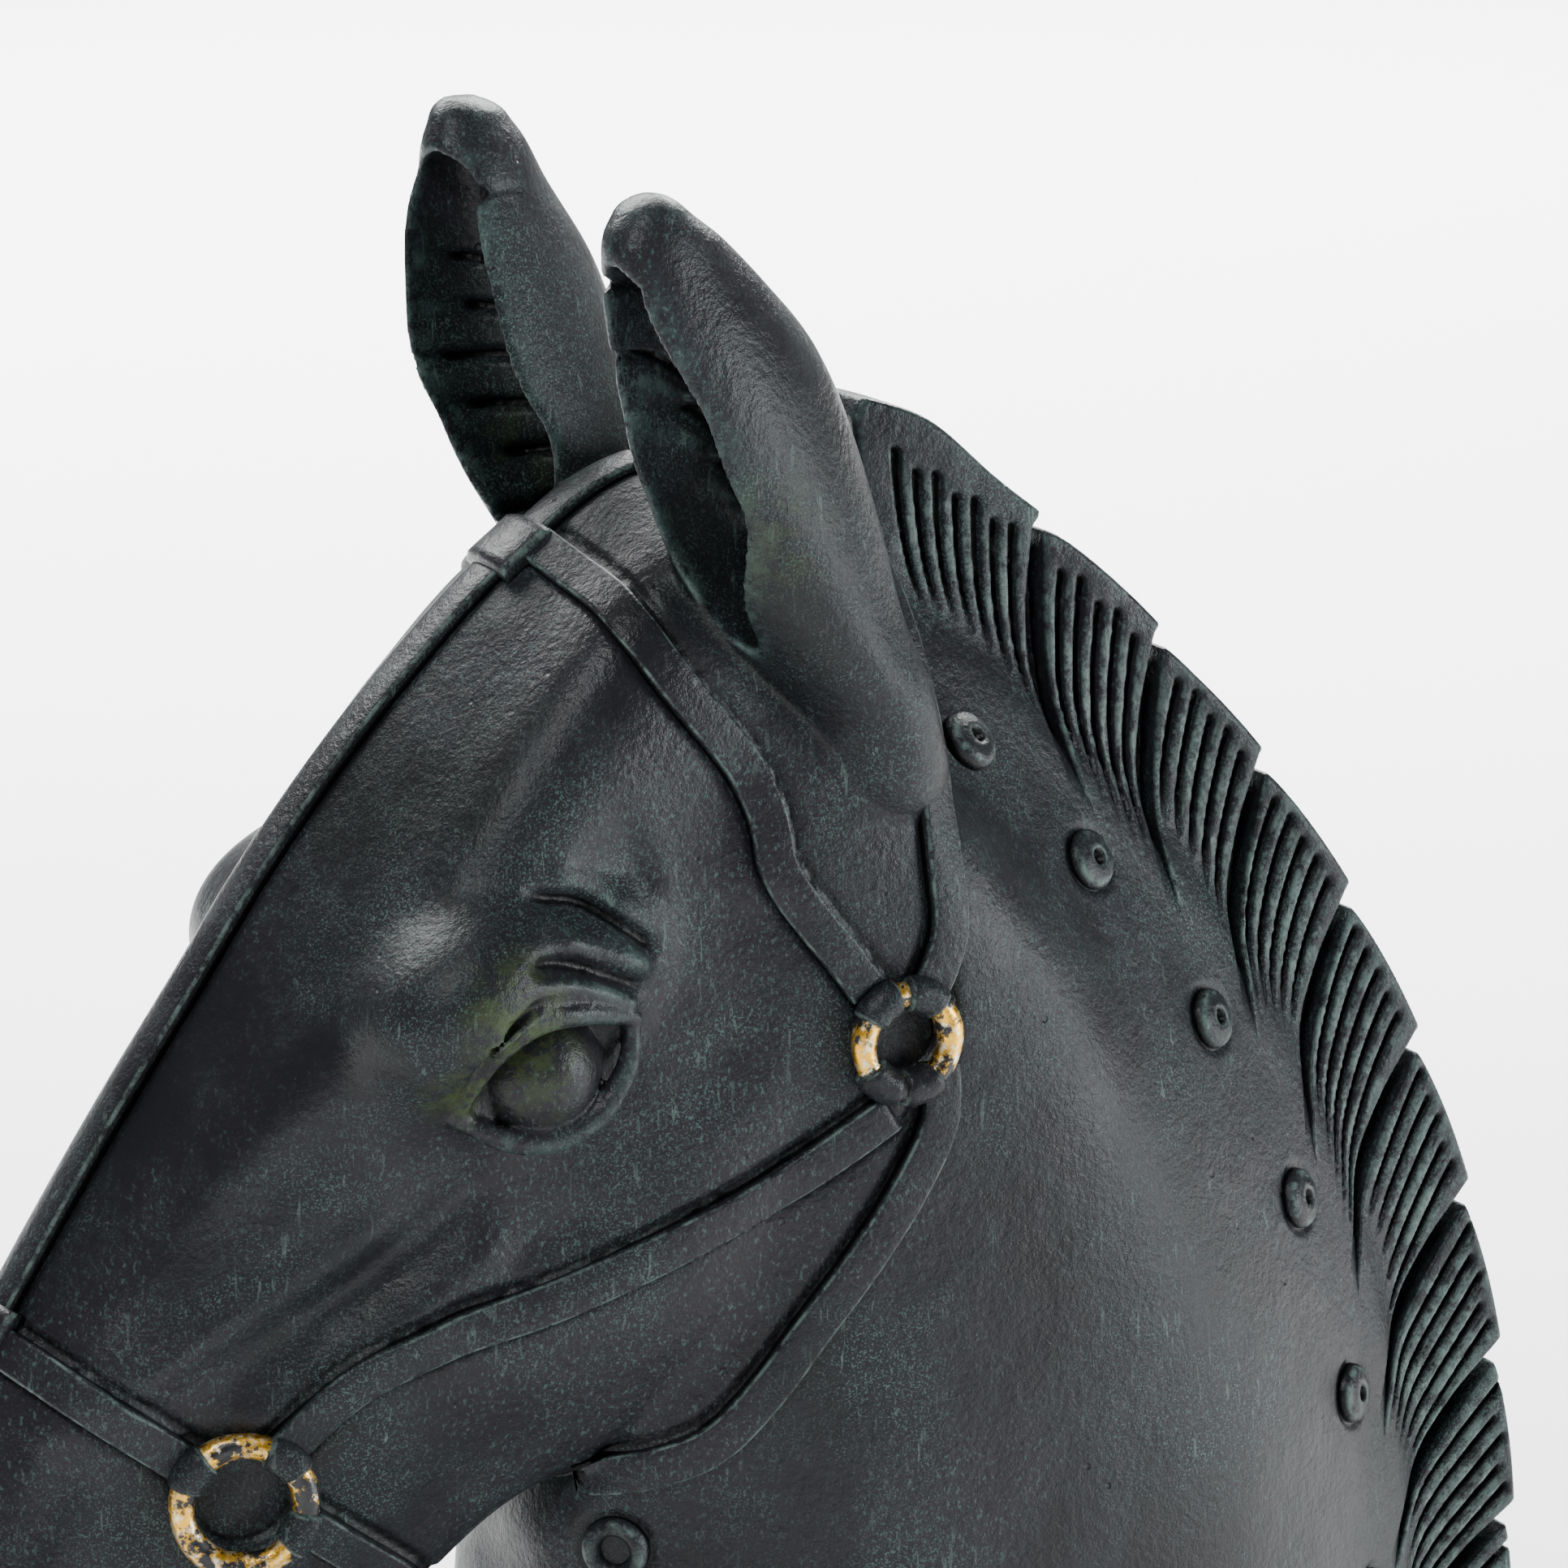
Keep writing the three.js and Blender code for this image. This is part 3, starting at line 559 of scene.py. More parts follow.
class Shells:
    """Closed shells gathered for one mesh, with how worn each point is; negative values mark painted shade at
    feet and in holes.
    """

    def __init__(self):
        self.points = []
        self.faces = []
        self.wear_and_shade = []
        self.count = 0

    def add(self, grid, wear_and_shade, closed_rows=False):
        """A tube: rows of points, each row a closed ring, with a flat cap at each end."""
        rows, ring = grid.shape[:2]
        index = self.count + np.arange(rows * ring).reshape(rows, ring)
        ahead = np.roll(index, -1, axis=0) if closed_rows else index[1:]
        here = index if closed_rows else index[:-1]
        side = np.roll(here, -1, axis=1)
        quads = np.stack([here, ahead, np.roll(ahead, -1, axis=1), side], axis=2).reshape(-1, 4)
        self.faces += [tuple(face) for face in quads.tolist()]
        if not closed_rows:
            self.faces.append(tuple(index[0].tolist()))
            self.faces.append(tuple(index[-1][::-1].tolist()))
        self.points.append(grid.reshape(-1, 3))
        self.wear_and_shade.append(np.broadcast_to(wear_and_shade, (rows, ring)).reshape(-1))
        self.count += rows * ring

    def mirror(self):
        """Adds the other side's copy of everything so far."""
        points = np.concatenate(self.points)
        other = points * np.array([1.0, -1.0, 1.0])
        flipped = [tuple(k + self.count for k in face[::-1]) for face in self.faces]
        self.faces += flipped
        self.points = [points, other]
        wear_and_shade = np.concatenate(self.wear_and_shade)
        self.wear_and_shade = [wear_and_shade, wear_and_shade]
        self.count *= 2

    def join(self, other):
        self.faces += [tuple(k + self.count for k in face) for face in other.faces]
        self.points += other.points
        self.wear_and_shade += other.wear_and_shade
        self.count += other.count

    def to_piece(self, name, material):
        points = np.concatenate(self.points) * MM
        mesh = bpy.data.meshes.new(name)
        mesh.from_pydata(points.tolist(), [], self.faces)
        mesh.polygons.foreach_set("use_smooth", np.ones(len(mesh.polygons), bool))
        wear_and_shade = np.concatenate(self.wear_and_shade).astype(np.float32)
        for label in ("fine_edge", "broad_edge"):
            layer = mesh.attributes.new(label, "FLOAT", "POINT")
            layer.data.foreach_set("value", wear_and_shade)
        mesh.materials.append(material)
        piece = bpy.data.objects.new(name, mesh)
        bpy.context.scene.collection.objects.link(piece)
        return piece


# Across a strap: share of the half-width, share of the thickness, wear (negative at the foot: painted shade where
# the strap meets the skin)
STRAP_PROFILE = [
    (1.03, None, -0.3),
    (1.02, 0.0, -0.3),
    (1.0, 0.45, 0.1),
    (0.985, 0.78, 0.45),
    (0.93, 0.95, 0.4),
    (0.8, 1.0, 0.08),
    (0.5, 1.03, 0.0),
    (0.0, 1.05, 0.0),
]
STRAP_FOOT = -1.6


# The throat strap wears away to nothing over this length, under the jaw.
THROAT_FADE = 16.0


def lay_ribbon(shells, skin, route, width, thickness, fade=0.0):
    """A cast strap that follows the skin, with square worn edges; it may fade into the skin at its end."""
    long = path(route, 1.2)
    long = skin.settle(long)
    tangent = np.gradient(long, axis=0)
    tangent /= np.linalg.norm(tangent, axis=1, keepdims=True)
    lateral = np.cross(skin.normal(long), tangent)
    lateral /= np.linalg.norm(lateral, axis=1, keepdims=True)
    profile = [(-a, h, w) for a, h, w in STRAP_PROFILE] + STRAP_PROFILE[-2::-1]
    ends = np.minimum(np.arange(len(long)), np.arange(len(long))[::-1]) * 1.2
    rise = 0.7 + 0.3 * np.clip(ends / 1.2, 0, 1)
    if fade:
        rise = rise - 1.1 * (1.0 - smooth_step(np.arange(len(long))[::-1] * 1.2 / fade))
    rings = []
    for across, height, _ in profile:
        place = skin.settle(long + lateral * across * width / 2)
        up = STRAP_FOOT + 0 * rise if height is None else height * thickness * rise
        rings.append(place + skin.normal(place) * up[:, None])
    grid = np.stack(rings, axis=1)
    wear_and_shade = np.array([w for _, _, w in profile])[None, :]
    shells.add(grid, wear_and_shade)


# Studs and eyelets, row by row: radius, height, wear; negative values are painted shade at the foot and in the
# hole.
STUD_PROFILE = [(6.0, -1.4, -0.3), (6.0, 0.1, -0.3), (5.8, 0.9, 0.2), (5.2, 1.6, 0.45), (4.1, 2.1, 0.2)]
STUD_PROFILE += [(2.9, 2.4, 0.1), (1.9, 2.5, 0.35), (1.4, 1.9, -0.2), (1.2, 0.7, -0.4), (0.1, 0.5, -0.4)]
EYELET_PROFILE = [(6.6, -1.4, -0.3), (6.6, 0.1, -0.3), (6.3, 1.0, 0.2), (5.6, 1.8, 0.4), (4.7, 2.1, 0.3)]
EYELET_PROFILE += [(3.7, 1.8, 0.2), (3.0, 1.0, -0.1), (2.7, -0.6, -0.4), (1.6, -0.9, -0.4), (0.1, -0.9, -0.4)]


def frame_on(normal):
    along = np.array([1.0, 0.0, 0.0]) - normal * normal[0]
    along /= np.linalg.norm(along)
    return along, np.cross(normal, along)


def lay_lathe(shells, centre, normal, profile, stretch=1.0):
    along, across = frame_on(normal)
    turn = np.linspace(0, 2 * math.pi, 48, endpoint=False)
    around = along * np.cos(turn)[:, None] + across * np.sin(turn)[:, None] * stretch
    rows = [centre + around * radius + normal * height for radius, height, _ in profile]
    wear_and_shade = np.array([w for _, _, w in profile])[:, None]
    shells.add(np.stack(rows), wear_and_shade)


def stroke(field, route, width, depth, near=-62.0, far=-5.0):
    """Presses a groove into the head's side, or raises a ridge where depth is negative."""
    points = path(route, 4.0)
    xs, zs = from_head(points[:, 0], points[:, 1])
    reach = 2.6 * width
    cut, x, y, z = field.window([xs.min() - reach, near, zs.min() - reach],
                                [xs.max() + reach, far, zs.max() + reach])
    flat = np.stack([xs, np.zeros_like(xs), zs], axis=1)
    away, along = distance_to_route(x, np.float32(0), z, flat)
    fade = smooth_step(np.minimum(along, 1 - along) * 5)
    amount = depth * fade * bump(away / width)
    gate = smooth_step((far - y) / 6.0)
    field.value[cut] += amount * gate


# Eye

EYE = {"t": 74.0, "n": 34.5, "y": 37.6, "radius": 12.8, "slant": 0.52}


def eye_point(a, b, y):
    """a runs along the slit towards the nose and b up across it."""
    t = EYE["t"] + a * math.cos(EYE["slant"]) - b * math.sin(EYE["slant"])
    n = EYE["n"] + a * math.sin(EYE["slant"]) + b * math.cos(EYE["slant"])
    x, z = from_head(t, n)
    return [x, -y, z]


def add_roll(field, route, radius, soft):
    """A soft roll along a route of points, thinner at its ends."""
    points = path(route, 2.5)
    reach = radius + soft + 1.5
    cut, x, y, z = field.window(points.min(axis=0) - reach, points.max(axis=0) + reach)
    away, along = distance_to_route(x, y, z, points)
    thick = radius * (0.45 + 0.55 * np.sin(math.pi * np.clip(along, 0.02, 0.98)) ** 0.6)
    field.value[cut] = blend(field.value[cut], away - thick, soft)


def cut_roll(field, route, radius, soft):
    points = path(route, 2.5)
    reach = radius + soft + 1.5
    cut, x, y, z = field.window(points.min(axis=0) - reach, points.max(axis=0) + reach)
    away, along = distance_to_route(x, y, z, points)
    thick = radius * (0.35 + 0.65 * np.sin(math.pi * np.clip(along, 0.02, 0.98)) ** 0.6)
    field.value[cut] = carve(field.value[cut], away - thick, soft)


# The wrinkle over the upper lid's fold, as (t, n).
BROW_WRINKLE = [(61.5, 54), (58.4, 49.3), (54.8, 41.0), (52.6, 31.6), (50.4, 23.4)]


def build_eye(field):
    centre = np.array(eye_point(-0.5, -1.0, EYE["y"]))
    cut, x, y, z = field.window(centre - 34, centre + 34)
    t, n = to_head(x, z)
    socket = ellipsoid(t, n, y, (EYE["t"], EYE["n"], EYE["y"] + 12), (18, 12.5, 9), EYE["slant"])
    value = carve(field.value[cut], socket, 2.5)
    ball = np.sqrt((x - centre[0]) ** 2 + (y - centre[1]) ** 2 + (z - centre[2]) ** 2)
    field.value[cut] = blend(value, ball - EYE["radius"], 0.5)
    fold = [eye_point(17, 8, 45.5), eye_point(8, 16.5, 49), eye_point(-3, 17.8, 49.5)]
    fold += [eye_point(-13, 12, 48.5), eye_point(-20, 4, 46)]
    add_roll(field, fold, 2.7, 2.5)
    upper = [eye_point(18.5, 0, 43.5), eye_point(14, 6, 46.5), eye_point(7, 10.5, 49)]
    upper += [eye_point(-1, 11.6, 50), eye_point(-10, 8, 49), eye_point(-19.5, 0.5, 45.5)]
    add_roll(field, upper, 2.7, 0.9)
    lower = [eye_point(18.5, 0, 43.5), eye_point(11, -9, 44.5), eye_point(3, -13, 44.8)]
    lower += [eye_point(-6, -13, 44.8), eye_point(-14.5, -8, 45.2), eye_point(-19.5, 0.5, 45.5)]
    add_roll(field, lower, 2.6, 1.6)
    duct = [eye_point(15.5, -2.5, 46.5), eye_point(19.5, 0, 47), eye_point(23.5, -0.5, 47)]
    duct += [eye_point(25, -4.5, 46.5), eye_point(23, -8.5, 45), eye_point(20, -9, 44)]
    cut_roll(field, duct, 1.9, 0.7)
    crease = [eye_point(18, 4, 49.5), eye_point(8, 13.8, 52.8), eye_point(-1, 15.2, 53.5)]
    crease += [eye_point(-11, 10.5, 52.5), eye_point(-22, 0, 48.5)]
    cut_roll(field, crease, 1.5, 0.7)
    stroke(field, BROW_WRINKLE, 1.7, 2.6)
    bag = [eye_point(16, -9, 47.5), eye_point(5, -17.5, 47), eye_point(-8, -17, 47), eye_point(-18, -9, 48)]
    cut_roll(field, bag, 1.3, 1.8)


# Soft forms and carved lines of the face: route of (t, n), width, depth.
FACE_STROKES = [
    ([(50, 59), (49.2, 55.3), (45, 46.1), (44.2, 35.4), (44, 24.5)], 1.6, 2.8),
    ([(53.5, 51), (50, 43), (48.4, 33), (47, 25)], 2.2, -1.3),
    ([(45, 56), (41, 46), (40, 34)], 2.6, -1.0),
    ([(98, 16), (116, 22.6), (128, 26.7), (149.4, 34.3), (166, 42)], 6.0, -2.6),
    ([(104, 40), (118, 42), (137, 49), (157, 57), (172, 61)], 4.5, -1.8),
    ([(94, 56), (116, 60), (140, 65), (164, 69)], 6.5, 1.4),
    ([(90, 30), (104, 30), (120, 34), (140, 41)], 4.5, 1.6),
    ([(28, 38), (40, 44), (52, 46)], 8.0, 2.0),
    ([(86, 4), (104, 14), (124, 24)], 6.0, 1.0),
    ([(20, 16), (44, 4), (70, 2)], 9.0, 1.2),
    ([(176, 60), (196, 58), (214, 57)], 6.0, 1.4),
    ([(180, 20), (200, 18), (214, 14)], 7.0, 1.0),
]
MOUTH_STROKES = [
    ([(262, 19), (250, 14), (234, 9), (216, 8), (207, 4)], 1.3, 3.2),
    ([(258, 26), (244, 21), (228, 16)], 3.4, -1.2),
    ([(254, 6), (240, 2), (226, 1)], 3.2, -1.1),
    ([(212, 12), (206, 7), (205, 0)], 1.6, 1.0),
]
NOSTRIL = [(239, 45), (238, 52), (232, 57), (226, 57), (223, 53)]


def build_muzzle(field):
    for route, width, depth in MOUTH_STROKES:
        stroke(field, route, width, depth)
    rim = []
    hole = []
    for t, n in NOSTRIL:
        x, z = from_head(t, n)
        hole.append([x, -26.5, z])
        x, z = from_head(t + 2, n)
        rim.append([x, -23.5, z])
    add_roll(field, rim, 5.5, 4.0)
    cut_roll(field, hole, 4.6, 1.4)


# Mane

MANE_FOOT = CREST_RADIUS - 36.0


def slide(depth):
    """How far a notch has slid down the crest at a depth below the mane's edge."""
    depth = np.maximum(depth, 0.0)
    return 0.66 * depth + 17.0 * (depth / 36.0) ** 3


def slant(depth):
    """Length of a step across the notches for each millimetre along the crest."""
    return np.hypot(1.0, 0.66 + 1.42 * (np.maximum(depth, 0.0) / 36.0) ** 2)


def tuft_place(along):
    """Which tuft a point lies in, and how far into it, from its run with the slide added."""
    past = MANE_START - along
    number = np.where(past < FIRST_TUFT, 0, 1 + np.floor((past - FIRST_TUFT) / TUFT_PITCH))
    start = np.where(number == 0, 0.0, FIRST_TUFT + (number - 1) * TUFT_PITCH)
    length = np.where(number == 0, FIRST_TUFT, TUFT_PITCH)
    return number, past - start, length


def hash_of(number, salt):
    """A fixed spread between -1 and 1 for each tuft."""
    return np.sin(number * 12.9898 + salt * 78.233)


def hair_grooves(depth, number, into, length):
    """Depth share of the carved hairs: tapering, of uneven length, clear of the top rim."""
    count = np.where(number == 0, 9.0, 6.0)
    bend = 0.25 * hash_of(number, 1.0) * np.sin(depth * 0.11 + number)
    phase = np.clip(into / (length - TUFT_GAP), 0, 1) * count + bend
    which = np.round(phase)
    away = np.abs(phase - which) * (length - TUFT_GAP) / count / slant(depth)
    reach = 30.5 + 4.5 * hash_of(which + number * 3.7, 3.0) + np.where(number == 0, which - 6.0, 0.0)
    drawn = (which > np.where(number == 0, 1.5, 0.5)) & (which < count - 0.5)
    taper = np.clip((reach - depth) / reach, 0, 1)
    wide = 0.45 + 1.1 * taper
    begin = smooth_step((depth - 0.8 - 0.8 * (1 + hash_of(which * 1.7 + number, 6.0))) / 2.2)
    shape = np.maximum(1.0 - away / wide, 0.0)
    return np.where(drawn, shape * begin * smooth_step(taper * 3.0), 0.0)


def mane_distance(x, y, z):
    run, out = to_neck(x, z)
    depth = CREST_RADIUS - out
    steep = slant(depth)
    along = run + slide(depth)
    number, into, length = tuft_place(along)
    share = np.clip(into / length, 0, 1)
    lift = 2.2 * np.clip((run - 220.0) / 40.0, 0, 1) + 3.4 * bump((run - 301.0) / 15.0)
    lift = lift + np.where(number == 0, 0.8 * share, 2.8 * np.sqrt(share) - 1.7)
    lift = lift + 0.4 * hash_of(number, 5.0)
    thick = MANE_THICKNESS / 2 - 1.0 + 0.045 * depth + 0.5 * np.sin(math.pi * share)
    sides = np.abs(y) - thick
    ends = (along - MANE_START) / steep
    plate = common(common(sides, -depth - lift + 0 * y, 1.3), ends + 0 * y, 1.3)
    whole = blend(plate, neck_distance(x, y, z), 7.0)
    notch = np.abs(into - length + TUFT_GAP / 2)
    notch = np.where(number > 0, np.minimum(notch, into + TUFT_GAP / 2), notch) / steep
    wide = 1.2 + 0.95 * np.sin(math.pi * np.clip(depth / 34.0, 0, 1))
    deep = 6.4 * np.sqrt(np.clip(1.0 - (np.maximum(depth, 0.0) / 37.0) ** 2, 0, 1))
    cut = np.maximum(notch - wide + 0 * y, -(whole + deep))
    whole = carve(whole, np.where(deep > 0.05, cut, FAR), 0.6)
    whole = whole + 3.0 * hair_grooves(depth, number, into, length)
    whole = whole + 1.2 * smooth_step((MANE_FOOT - out) / 5.0)
    whole = np.maximum(whole, MANE_FOOT - 9.0 - out)
    return np.maximum(whole, -z)


# Ears. Each row: height, middle in x, half-depth along x, half-width along y.
EAR_RIBS = [
    [-3, 4, 7, 8],
    [5, 2.8, 12.5, 14],
    [22, -3, 14.5, 17.5],
    [42, -14.5, 20, 17.5],
    [58, -20.3, 22.6, 17],
    [72, -25, 23.2, 16],
    [90, -31.2, 19.4, 13.5],
    [108, -39.7, 11.6, 9.5],
    [117, -42.2, 8, 7],
    [121, -42.5, 4.6, 4.4],
    [122.6, -42.6, 1.2, 1.2],
]
EAR_FOOT = 30.5
EAR_SPREAD = 0.09
EAR_TOP = 121.5
# Gouges in an ear's hollow: points across and up it, radius and depth.
LEAVES = [
    ([(9, 92), (6.5, 85)], 1.2, 2.4),
    ([(4.5, 88), (6, 81)], 1.0, 1.8),
    ([(8, 80), (5.5, 73)], 1.5, 3.0),
    ([(2.5, 78), (4.5, 71)], 1.1, 2.0),
    ([(6.5, 69), (4, 63)], 1.5, 3.0),
    ([(1, 68), (3, 61)], 1.1, 2.0),
    ([(3, 54), (3.5, 51.5)], 2.2, 4.5),
    ([(2, 45), (0, 40)], 3.0, 4.5),
]
RUNGS = [
    ([(-7, 93), (-4.5, 92.5)], 1.2, 2.0),
    ([(-7, 84), (-3, 83.5)], 1.3, 2.4),
    ([(-11, 75), (-2, 75)], 1.2, 2.6),
    ([(-11, 66), (-1, 66)], 1.2, 2.8),
    ([(-9, 57), (-1, 58)], 1.3, 2.6),
    ([(-10, 47), (-1, 50)], 1.4, 2.4),
]
# Each ear's own outline, beside its ribs: height, front edge further out, back edge further in.
NEAR_RIM = [
    (-4, 0, 0),
    (48, 0, 0),
    (71, 4.6, 0),
    (88, 6.6, -1.5),
    (100, 7.0, -2.5),
    (108, 7.4, -1.5),
    (113, 7.0, 1.0),
    (117, 6.2, 4.0),
    (120, 5.2, 6.0),
    (123, 4.0, 6.0),
]
FAR_RIM = [
    (-4, 0, 0),
    (48, 0, 0),
    (58, 3.0, 0),
    (66, 5.5, -0.5),
    (73, 8.0, -1.0),
    (90, 8.0, -4.5),
    (97, 6.5, -6.3),
    (105, 3.0, -7.5),
    (111, -1.0, -7.5),
    (116, -2.5, -7.0),
    (120, -2.5, -6.0),
    (123, -1.5, -4.0),
]
NEAR_EAR = {"side": -1, "shift": 0.0, "lift": 0.0, "turn": math.radians(-20), "gouges": LEAVES}
NEAR_EAR.update({"rim": NEAR_RIM, "filled": 2.2})
FAR_EAR = {"side": 1, "shift": -8.5, "lift": 8.0, "turn": math.radians(28), "gouges": RUNGS}
FAR_EAR.update({"rim": FAR_RIM, "filled": 0.3})


def ellipse(u, v, a, b):
    size = np.sqrt((u / a) ** 2 + (v / b) ** 2) + 1e-6
    steep = np.sqrt((u / a ** 2) ** 2 + (v / b ** 2) ** 2) + 1e-6
    return size * (size - 1.0) / steep


def add_ear(field, pose):
    grow = 1.0 + pose["lift"] / EAR_TOP
    base = HEAD_ZERO[1]
    side = pose["side"]
    span = [X_SHIFT - 78, X_SHIFT + 24]
    ys = sorted([side * 8.0, side * 62.0])
    cut, x, y, z = field.window([span[0], ys[0], base - 10], [span[1], ys[1], base + 136])
    height = (z.ravel() - base) / grow
    ribs = through([row[0] for row in EAR_RIBS], [row[1:] for row in EAR_RIBS], height)
    middle, deep, wide = (ribs[:, k][None, None, :].astype(np.float32) for k in range(3))
    rim = through([row[0] for row in pose["rim"]], [row[1:] for row in pose["rim"]], height)
    front, back = (rim[:, k][None, None, :].astype(np.float32) for k in range(2))
    middle = middle - (front + back) / 2
    deep = deep + (front - back) / 2
    height = height[None, None, :]
    deep = np.maximum(deep, 0.5)
    wide = np.maximum(wide, 0.5)
    dx = x - (X_SHIFT + middle + pose["shift"])
    dy = side * y - (EAR_FOOT + EAR_SPREAD * height)
    u = dx * math.cos(pose["turn"]) + dy * math.sin(pose["turn"])
    v = dx * math.sin(pose["turn"]) - dy * math.cos(pose["turn"])
    shell = ellipse(u, v, deep, wide) * 0.92
    shell = np.maximum(shell, height - 122.0)
    shell = np.maximum(shell, -3.0 - height)
    narrow = 0.35 + 0.65 * smooth_step((height - 36.0) / 30.0)
    hollow = ellipse(u + 0.62 * deep, v, deep * 0.7, wide * 0.74 * narrow) * 0.92
    hollow = common(hollow, 37.0 - height + 0 * hollow, 6.0)
    hollow = common(hollow, height - 114.0 + 0 * hollow, 8.0)
    hollow = hollow + pose["filled"] * (0.3 + smooth_step((height - 78.0) / 25.0))
    for points, radius, depth in pose["gouges"]:
        line = np.array([[0.0, across, level] for across, level in points])
        away, _ = distance_to_route(0 * v, v, height + 0 * v, line)
        hollow = hollow - depth * bump(away / radius)
    shell = carve(shell, hollow, 1.8)
    dent = bump((height - 106.0) / 1.3) * bump((v - 4.0) / 6.0) * (u < 0)
    shell = shell + 1.1 * dent
    field.value[cut] = blend(field.value[cut], shell, 1.8)


# Where the head's piece ends: the outer edge of the strap behind the jowl, in x and z.
SEAM = [(-62, 390), (-57, 330), (-54, 307), (-49.5, 293.5), (-46.8, 278), (-44.6, 259.7), (-44, 244)]
SEAM += [(-43.9, 228), (-42.5, 217), (-43.5, 205.5), (-46.2, 195.6), (-52.9, 181.8), (-61, 170.4)]
SEAM += [(-72.9, 155.6), (-81.4, 144.4), (-91.5, 134.5), (-102.3, 130.2), (-111.9, 127.5)]
SEAM += [(-121, 123), (-132, 60), (-140, -20)]


def seam_distance(x, z):
    """Negative on the head's side. It is the same for every y."""
    best = np.full(np.broadcast(x, z).shape, np.inf, np.float32)
    sign = np.ones_like(best)
    for (x_0, z_0), (x_1, z_1) in zip(SEAM, SEAM[1:]):
        wx, wz = x_1 - x_0, z_1 - z_0
        s = np.clip(((x - x_0) * wx + (z - z_0) * wz) / (wx * wx + wz * wz), 0, 1)
        d = (x - x_0 - s * wx) ** 2 + (z - z_0 - s * wz) ** 2
        turn = wx * (z - z_0) - wz * (x - x_0)
        nearer = d < best
        best = np.where(nearer, d, best)
        sign = np.where(nearer, np.where(turn > 0, 1.0, -1.0), sign)
    return np.sqrt(best) * sign - STRAP_WIDTH / 2 - 0.3


# Meshing

CORNERS = [(i, j, k) for i in (0, 1) for j in (0, 1) for k in (0, 1)]
EDGES = [(a, b) for a in range(8) for b in range(a + 1, 8)
         if sum(abs(p - q) for p, q in zip(CORNERS[a], CORNERS[b])) == 1]


def surface_net(field):
    """Vertices in millimetres and four-sided faces on the field's zero level."""
    value = field.value
    value[[0, -1]] = FAR
    value[:, [0, -1]] = FAR
    value[:, :, [0, -1]] = FAR
    inside = value < 0
    cells = tuple(n - 1 for n in value.shape)
    count = np.zeros(cells, np.uint8)
    for i, j, k in CORNERS:
        count += inside[i:i + cells[0], j:j + cells[1], k:k + cells[2]]
    i, j, k = np.nonzero((count > 0) & (count < 8))
    corner = np.stack([value[i + a, j + b, k + c] for a, b, c in CORNERS])
    total = np.zeros((len(i), 3))
    hits = np.zeros(len(i))
    for a, b in EDGES:
        va, vb = corner[a], corner[b]
        crossing = (va < 0) != (vb < 0)
        share = np.where(crossing, va / np.where(crossing, va - vb, 1.0), 0.0)
        for axis in range(3):
            place = CORNERS[a][axis] + share * (CORNERS[b][axis] - CORNERS[a][axis])
            total[:, axis] += np.where(crossing, place, 0.0)
        hits += crossing
    points = total / hits[:, None] + np.stack([i, j, k], axis=1)
    for axis in range(3):
        points[:, axis] = field.axes[axis][0] + points[:, axis] * field.voxel
    number = np.full(cells, -1, np.int32)
    number[i, j, k] = np.arange(len(i))
    faces = []
    for axis in range(3):
        first, second = [a for a in range(3) if a != axis]
        here = [slice(1, cells[a]) for a in range(3)]
        here[axis] = slice(0, cells[axis])
        there = list(here)
        there[axis] = slice(1, cells[axis] + 1)
        a = inside[tuple(here)]
        b = inside[tuple(there)]
        spot = np.nonzero(a != b)
        leaving = a[spot]
        base = [spot[0], spot[1], spot[2]]
        base[first] = base[first] + 1
        base[second] = base[second] + 1
        ring = []
        for du, dv in ((0, 0), (-1, 0), (-1, -1), (0, -1)):
            cell = list(base)
            cell[first] = cell[first] + du
            cell[second] = cell[second] + dv
            ring.append(number[tuple(cell)])
        quad = np.stack(ring, axis=1)
        turned = leaving if axis != 1 else ~leaving
        quad[~turned] = quad[~turned][:, ::-1]
        faces.append(quad)
    return points, np.concatenate(faces)


def curvature(field, points, reach):
    """Positive on edges that stand out and negative in grooves."""
    total = np.zeros(len(points), np.float32)
    for axis in range(3):
        for way in (-reach, reach):
            moved = points.copy()
            moved[:, axis] += way
            total += np.clip(field.sample(moved), -4 * reach, 4 * reach)
    return total / 6 - field.sample(points)


def build_piece(name, field, material):
    points, quads = surface_net(field)
    mesh = bpy.data.meshes.new(name)
    mesh.vertices.add(len(points))
    mesh.vertices.foreach_set("co", (points * MM).astype(np.float32).ravel())
    mesh.loops.add(quads.size)
    mesh.loops.foreach_set("vertex_index", quads.astype(np.int32).ravel())
    mesh.polygons.add(len(quads))
    mesh.polygons.foreach_set("loop_start", np.arange(0, quads.size, 4, dtype=np.int32))
    mesh.update(calc_edges=True)
    piece = bpy.data.objects.new(name, mesh)
    bpy.context.scene.collection.objects.link(piece)
    if 2 * len(quads) > MOST_TRIANGLES:
        fewer = piece.modifiers.new("fewer", "DECIMATE")
        fewer.ratio = MOST_TRIANGLES / (2 * len(quads))
        made = bpy.data.meshes.new_from_object(piece.evaluated_get(bpy.context.evaluated_depsgraph_get()))
        piece.modifiers.clear()
        piece.data = made
        bpy.data.meshes.remove(mesh)
        mesh = made
        mesh.name = name
    mesh.polygons.foreach_set("use_smooth", np.ones(len(mesh.polygons), bool))
    flat = np.empty(3 * len(mesh.vertices), np.float32)
    mesh.vertices.foreach_get("co", flat)
    points = flat.reshape(-1, 3).astype(np.float64) / MM
    for label, reach in (("fine_edge", 1.2), ("broad_edge", 3.2)):
        layer = mesh.attributes.new(label, "FLOAT", "POINT")
        layer.data.foreach_set("value", curvature(field, points, reach).astype(np.float32))
    mesh.materials.append(material)
    return piece


# Fields of the pieces

